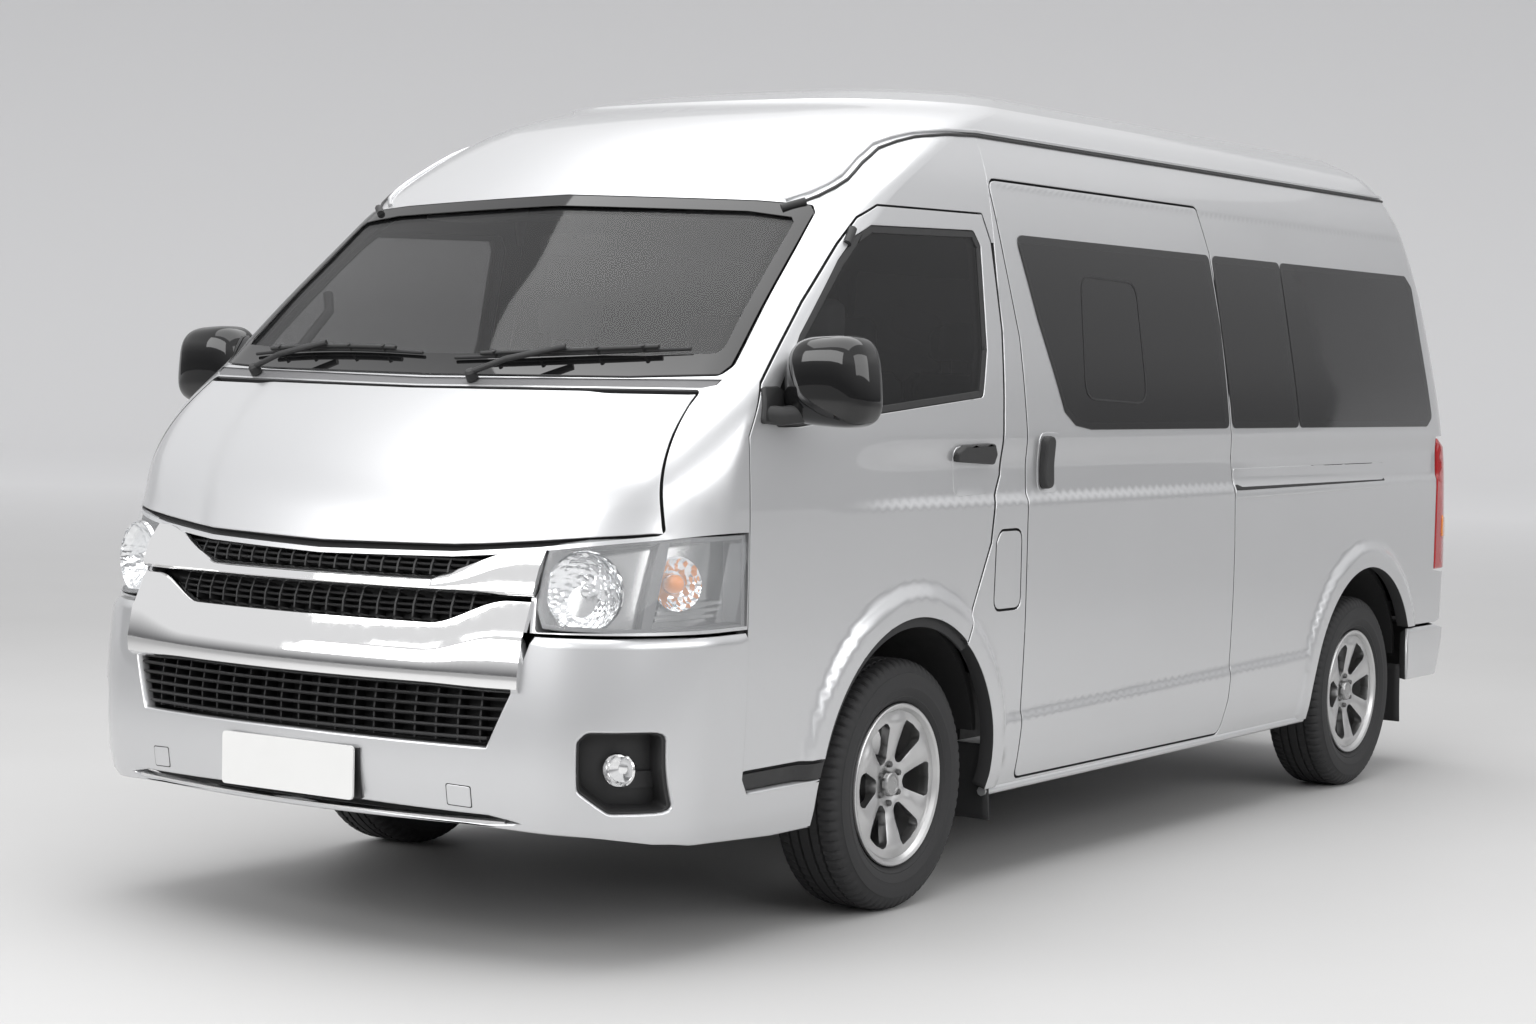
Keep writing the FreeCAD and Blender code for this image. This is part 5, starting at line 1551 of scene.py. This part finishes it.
CUSHION, BACK, REST = (0.476, 0.458, 0.128), (0.476, 0.108, 0.596), (0.248, 0.088, 0.150)
shapes = {}
for kind, size, across, along in (("cushion", CUSHION, (-0.35, 0.30), (0.62,)),
                                  ("back", BACK, (-0.45, 0.0, 0.45), (0.62,)), ("rest", REST, (), ())):
    swollen_points, cushion_faces = stuffed(f"{kind}_form", size, 0.012 if kind != "rest" else 0.008)
    shapes[kind] = (sewn(swollen_points, size, across, along), cushion_faces)


def seat(name, x, y, base, node):
    places = {"cushion": (x, y + 0.230, base + 0.065), "back": (x, y + 0.520, base + 0.340),
              "rest": (x, y + 0.520, base + 0.722)}
    for kind, place in places.items():
        points, faces = shapes[kind]
        made = make_piece(f"{name}_{kind}", points + np.array(place), faces, None, None,
                          [finishes["fabric"]], "body")
        if kind == "cushion" and node:
            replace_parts(made, node)
    for turn in (-0.06, 0.06):
        tube(f"{name}_post_{'l' if turn < 0 else 'r'}",
             [(x + turn, y + 0.52, base + 0.60), (x + turn, y + 0.52, base + 0.69)], 0.006, "body", bright)


for number, x in enumerate((-0.425, 0.425)):
    seat(f"front_seat_{number}", x, -1.600, 0.851, "front_seats")
for row, y in enumerate((-0.650, 0.130, 0.910)):
    for number, x in enumerate((-0.560, -0.060)):
        seat(f"bench_{row}_{number}", x, y, 0.820, "passenger_seats")
        for foot in (-0.17, 0.17):
            tube(f"bench_{row}_{number}_leg_{'l' if foot < 0 else 'r'}",
                 [(x + foot, y + 0.07, 0.645), (x + foot, y + 0.10, 0.812), (x + foot, y + 0.36, 0.812),
                  (x + foot, y + 0.40, 0.645)], 0.014, "body", finishes["steel"])
for number, x in enumerate((-0.550, 0.0, 0.550)):
    seat(f"rear_bench_{number}", x, 1.740, 0.820, "passenger_seats")

column_axis = Vector((0, 0.743145, 0.669131))
hub_place = Vector((-0.385, -1.735, 1.185))
rim_profile = [(0.0145 * math.sin(a), 0.1745 + 0.0145 * math.cos(a))
               for a in (2 * math.pi * k / 14 for k in range(15))]
wheel_rim = lathe("steering_rim", rim_profile, hub_place, column_axis, "steering_wheel", finishes["dash"],
                  64, 80)
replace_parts(wheel_rim, "steering_wheel")
lathe("steering_boss", [(-0.05, 0.040), (-0.045, 0.060), (-0.012, 0.066), (-0.002, 0.058), (0.002, 0.03),
                        (0.003, 0.0)], hub_place, column_axis, "steering_wheel", finishes["dash"],
      40, 50)
level = Vector((1, 0, 0))
upward = column_axis.cross(level)
for number, angle in enumerate((-8, 188, 270)):
    a = math.radians(angle)
    outward = level * math.cos(a) + upward * math.sin(a)
    path = [tuple(hub_place + outward * r - column_axis * d)
            for r, d in ((0.045, 0.020), (0.10, 0.012), (0.168, 0.0))]
    tube(f"steering_spoke_{number}", path, 0.011, "steering_wheel", finishes["dash"])


def fascia():
    """Dashboard: a moulded beam with a hood over the instruments."""
    profile = [(-2.215, 1.120), (-2.200, 1.270), (-2.120, 1.296), (-1.980, 1.296), (-1.860, 1.270),
               (-1.790, 1.215), (-1.762, 1.120), (-1.800, 1.000), (-1.900, 0.930), (-2.080, 0.890),
               (-2.190, 0.900)]
    columns = 44
    points, faces, count = [], [], len(profile)
    for i in range(columns + 1):
        x = -0.775 + 1.55 * i / columns
        hooded = float(ease(-abs(x + 0.385), -0.23, -0.15))
        taper = float(ease(abs(x), 0.70, 0.775)) * 0.03
        for y, z in profile:
            near = float(ease(y, -2.02, -1.90))
            points.append((x, y + taper, z + hooded * near * 0.040 * (z > 1.19) - taper * (z > 1.1)))
    for i in range(columns):
        faces += [(i * count + k, i * count + (k + 1) % count, (i + 1) * count + (k + 1) % count,
                   (i + 1) * count + k) for k in range(count)]
    faces += [tuple(range(count)), tuple(columns * count + k for k in range(count))]
    made = make_piece("fascia", points, faces, None, None, [finishes["dash"]], "body")
    finish_mesh(made, 50)
    smooth = made.modifiers.new("smooth", "SUBSURF")
    smooth.levels = smooth.render_levels = 1
    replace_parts(made, "dashboard")


fascia()
superellipsoid("inside_mirror", (0.0, -1.60, 1.760), (0.125, 0.016, 0.034), 0.5, "body", black)
tube("inside_mirror_stalk", [(0.0, -1.605, 1.775), (0.0, -1.650, 1.840)], 0.008, "body", black)
for side, word in SIDES:
    tube(f"grab_handle_{word}", [(side * 0.815, -1.90, 1.42), (side * 0.780, -1.86, 1.46),
                                 (side * 0.760, -1.76, 1.57), (side * 0.785, -1.74, 1.62)], 0.014, "body",
         finishes["cowl_grey"], 16)
    superellipsoid(f"sun_visor_{word}", (side * 0.38, -1.50, 1.845), (0.20, 0.09, 0.010), 0.4, "body",
                   finishes["cowl_grey"])
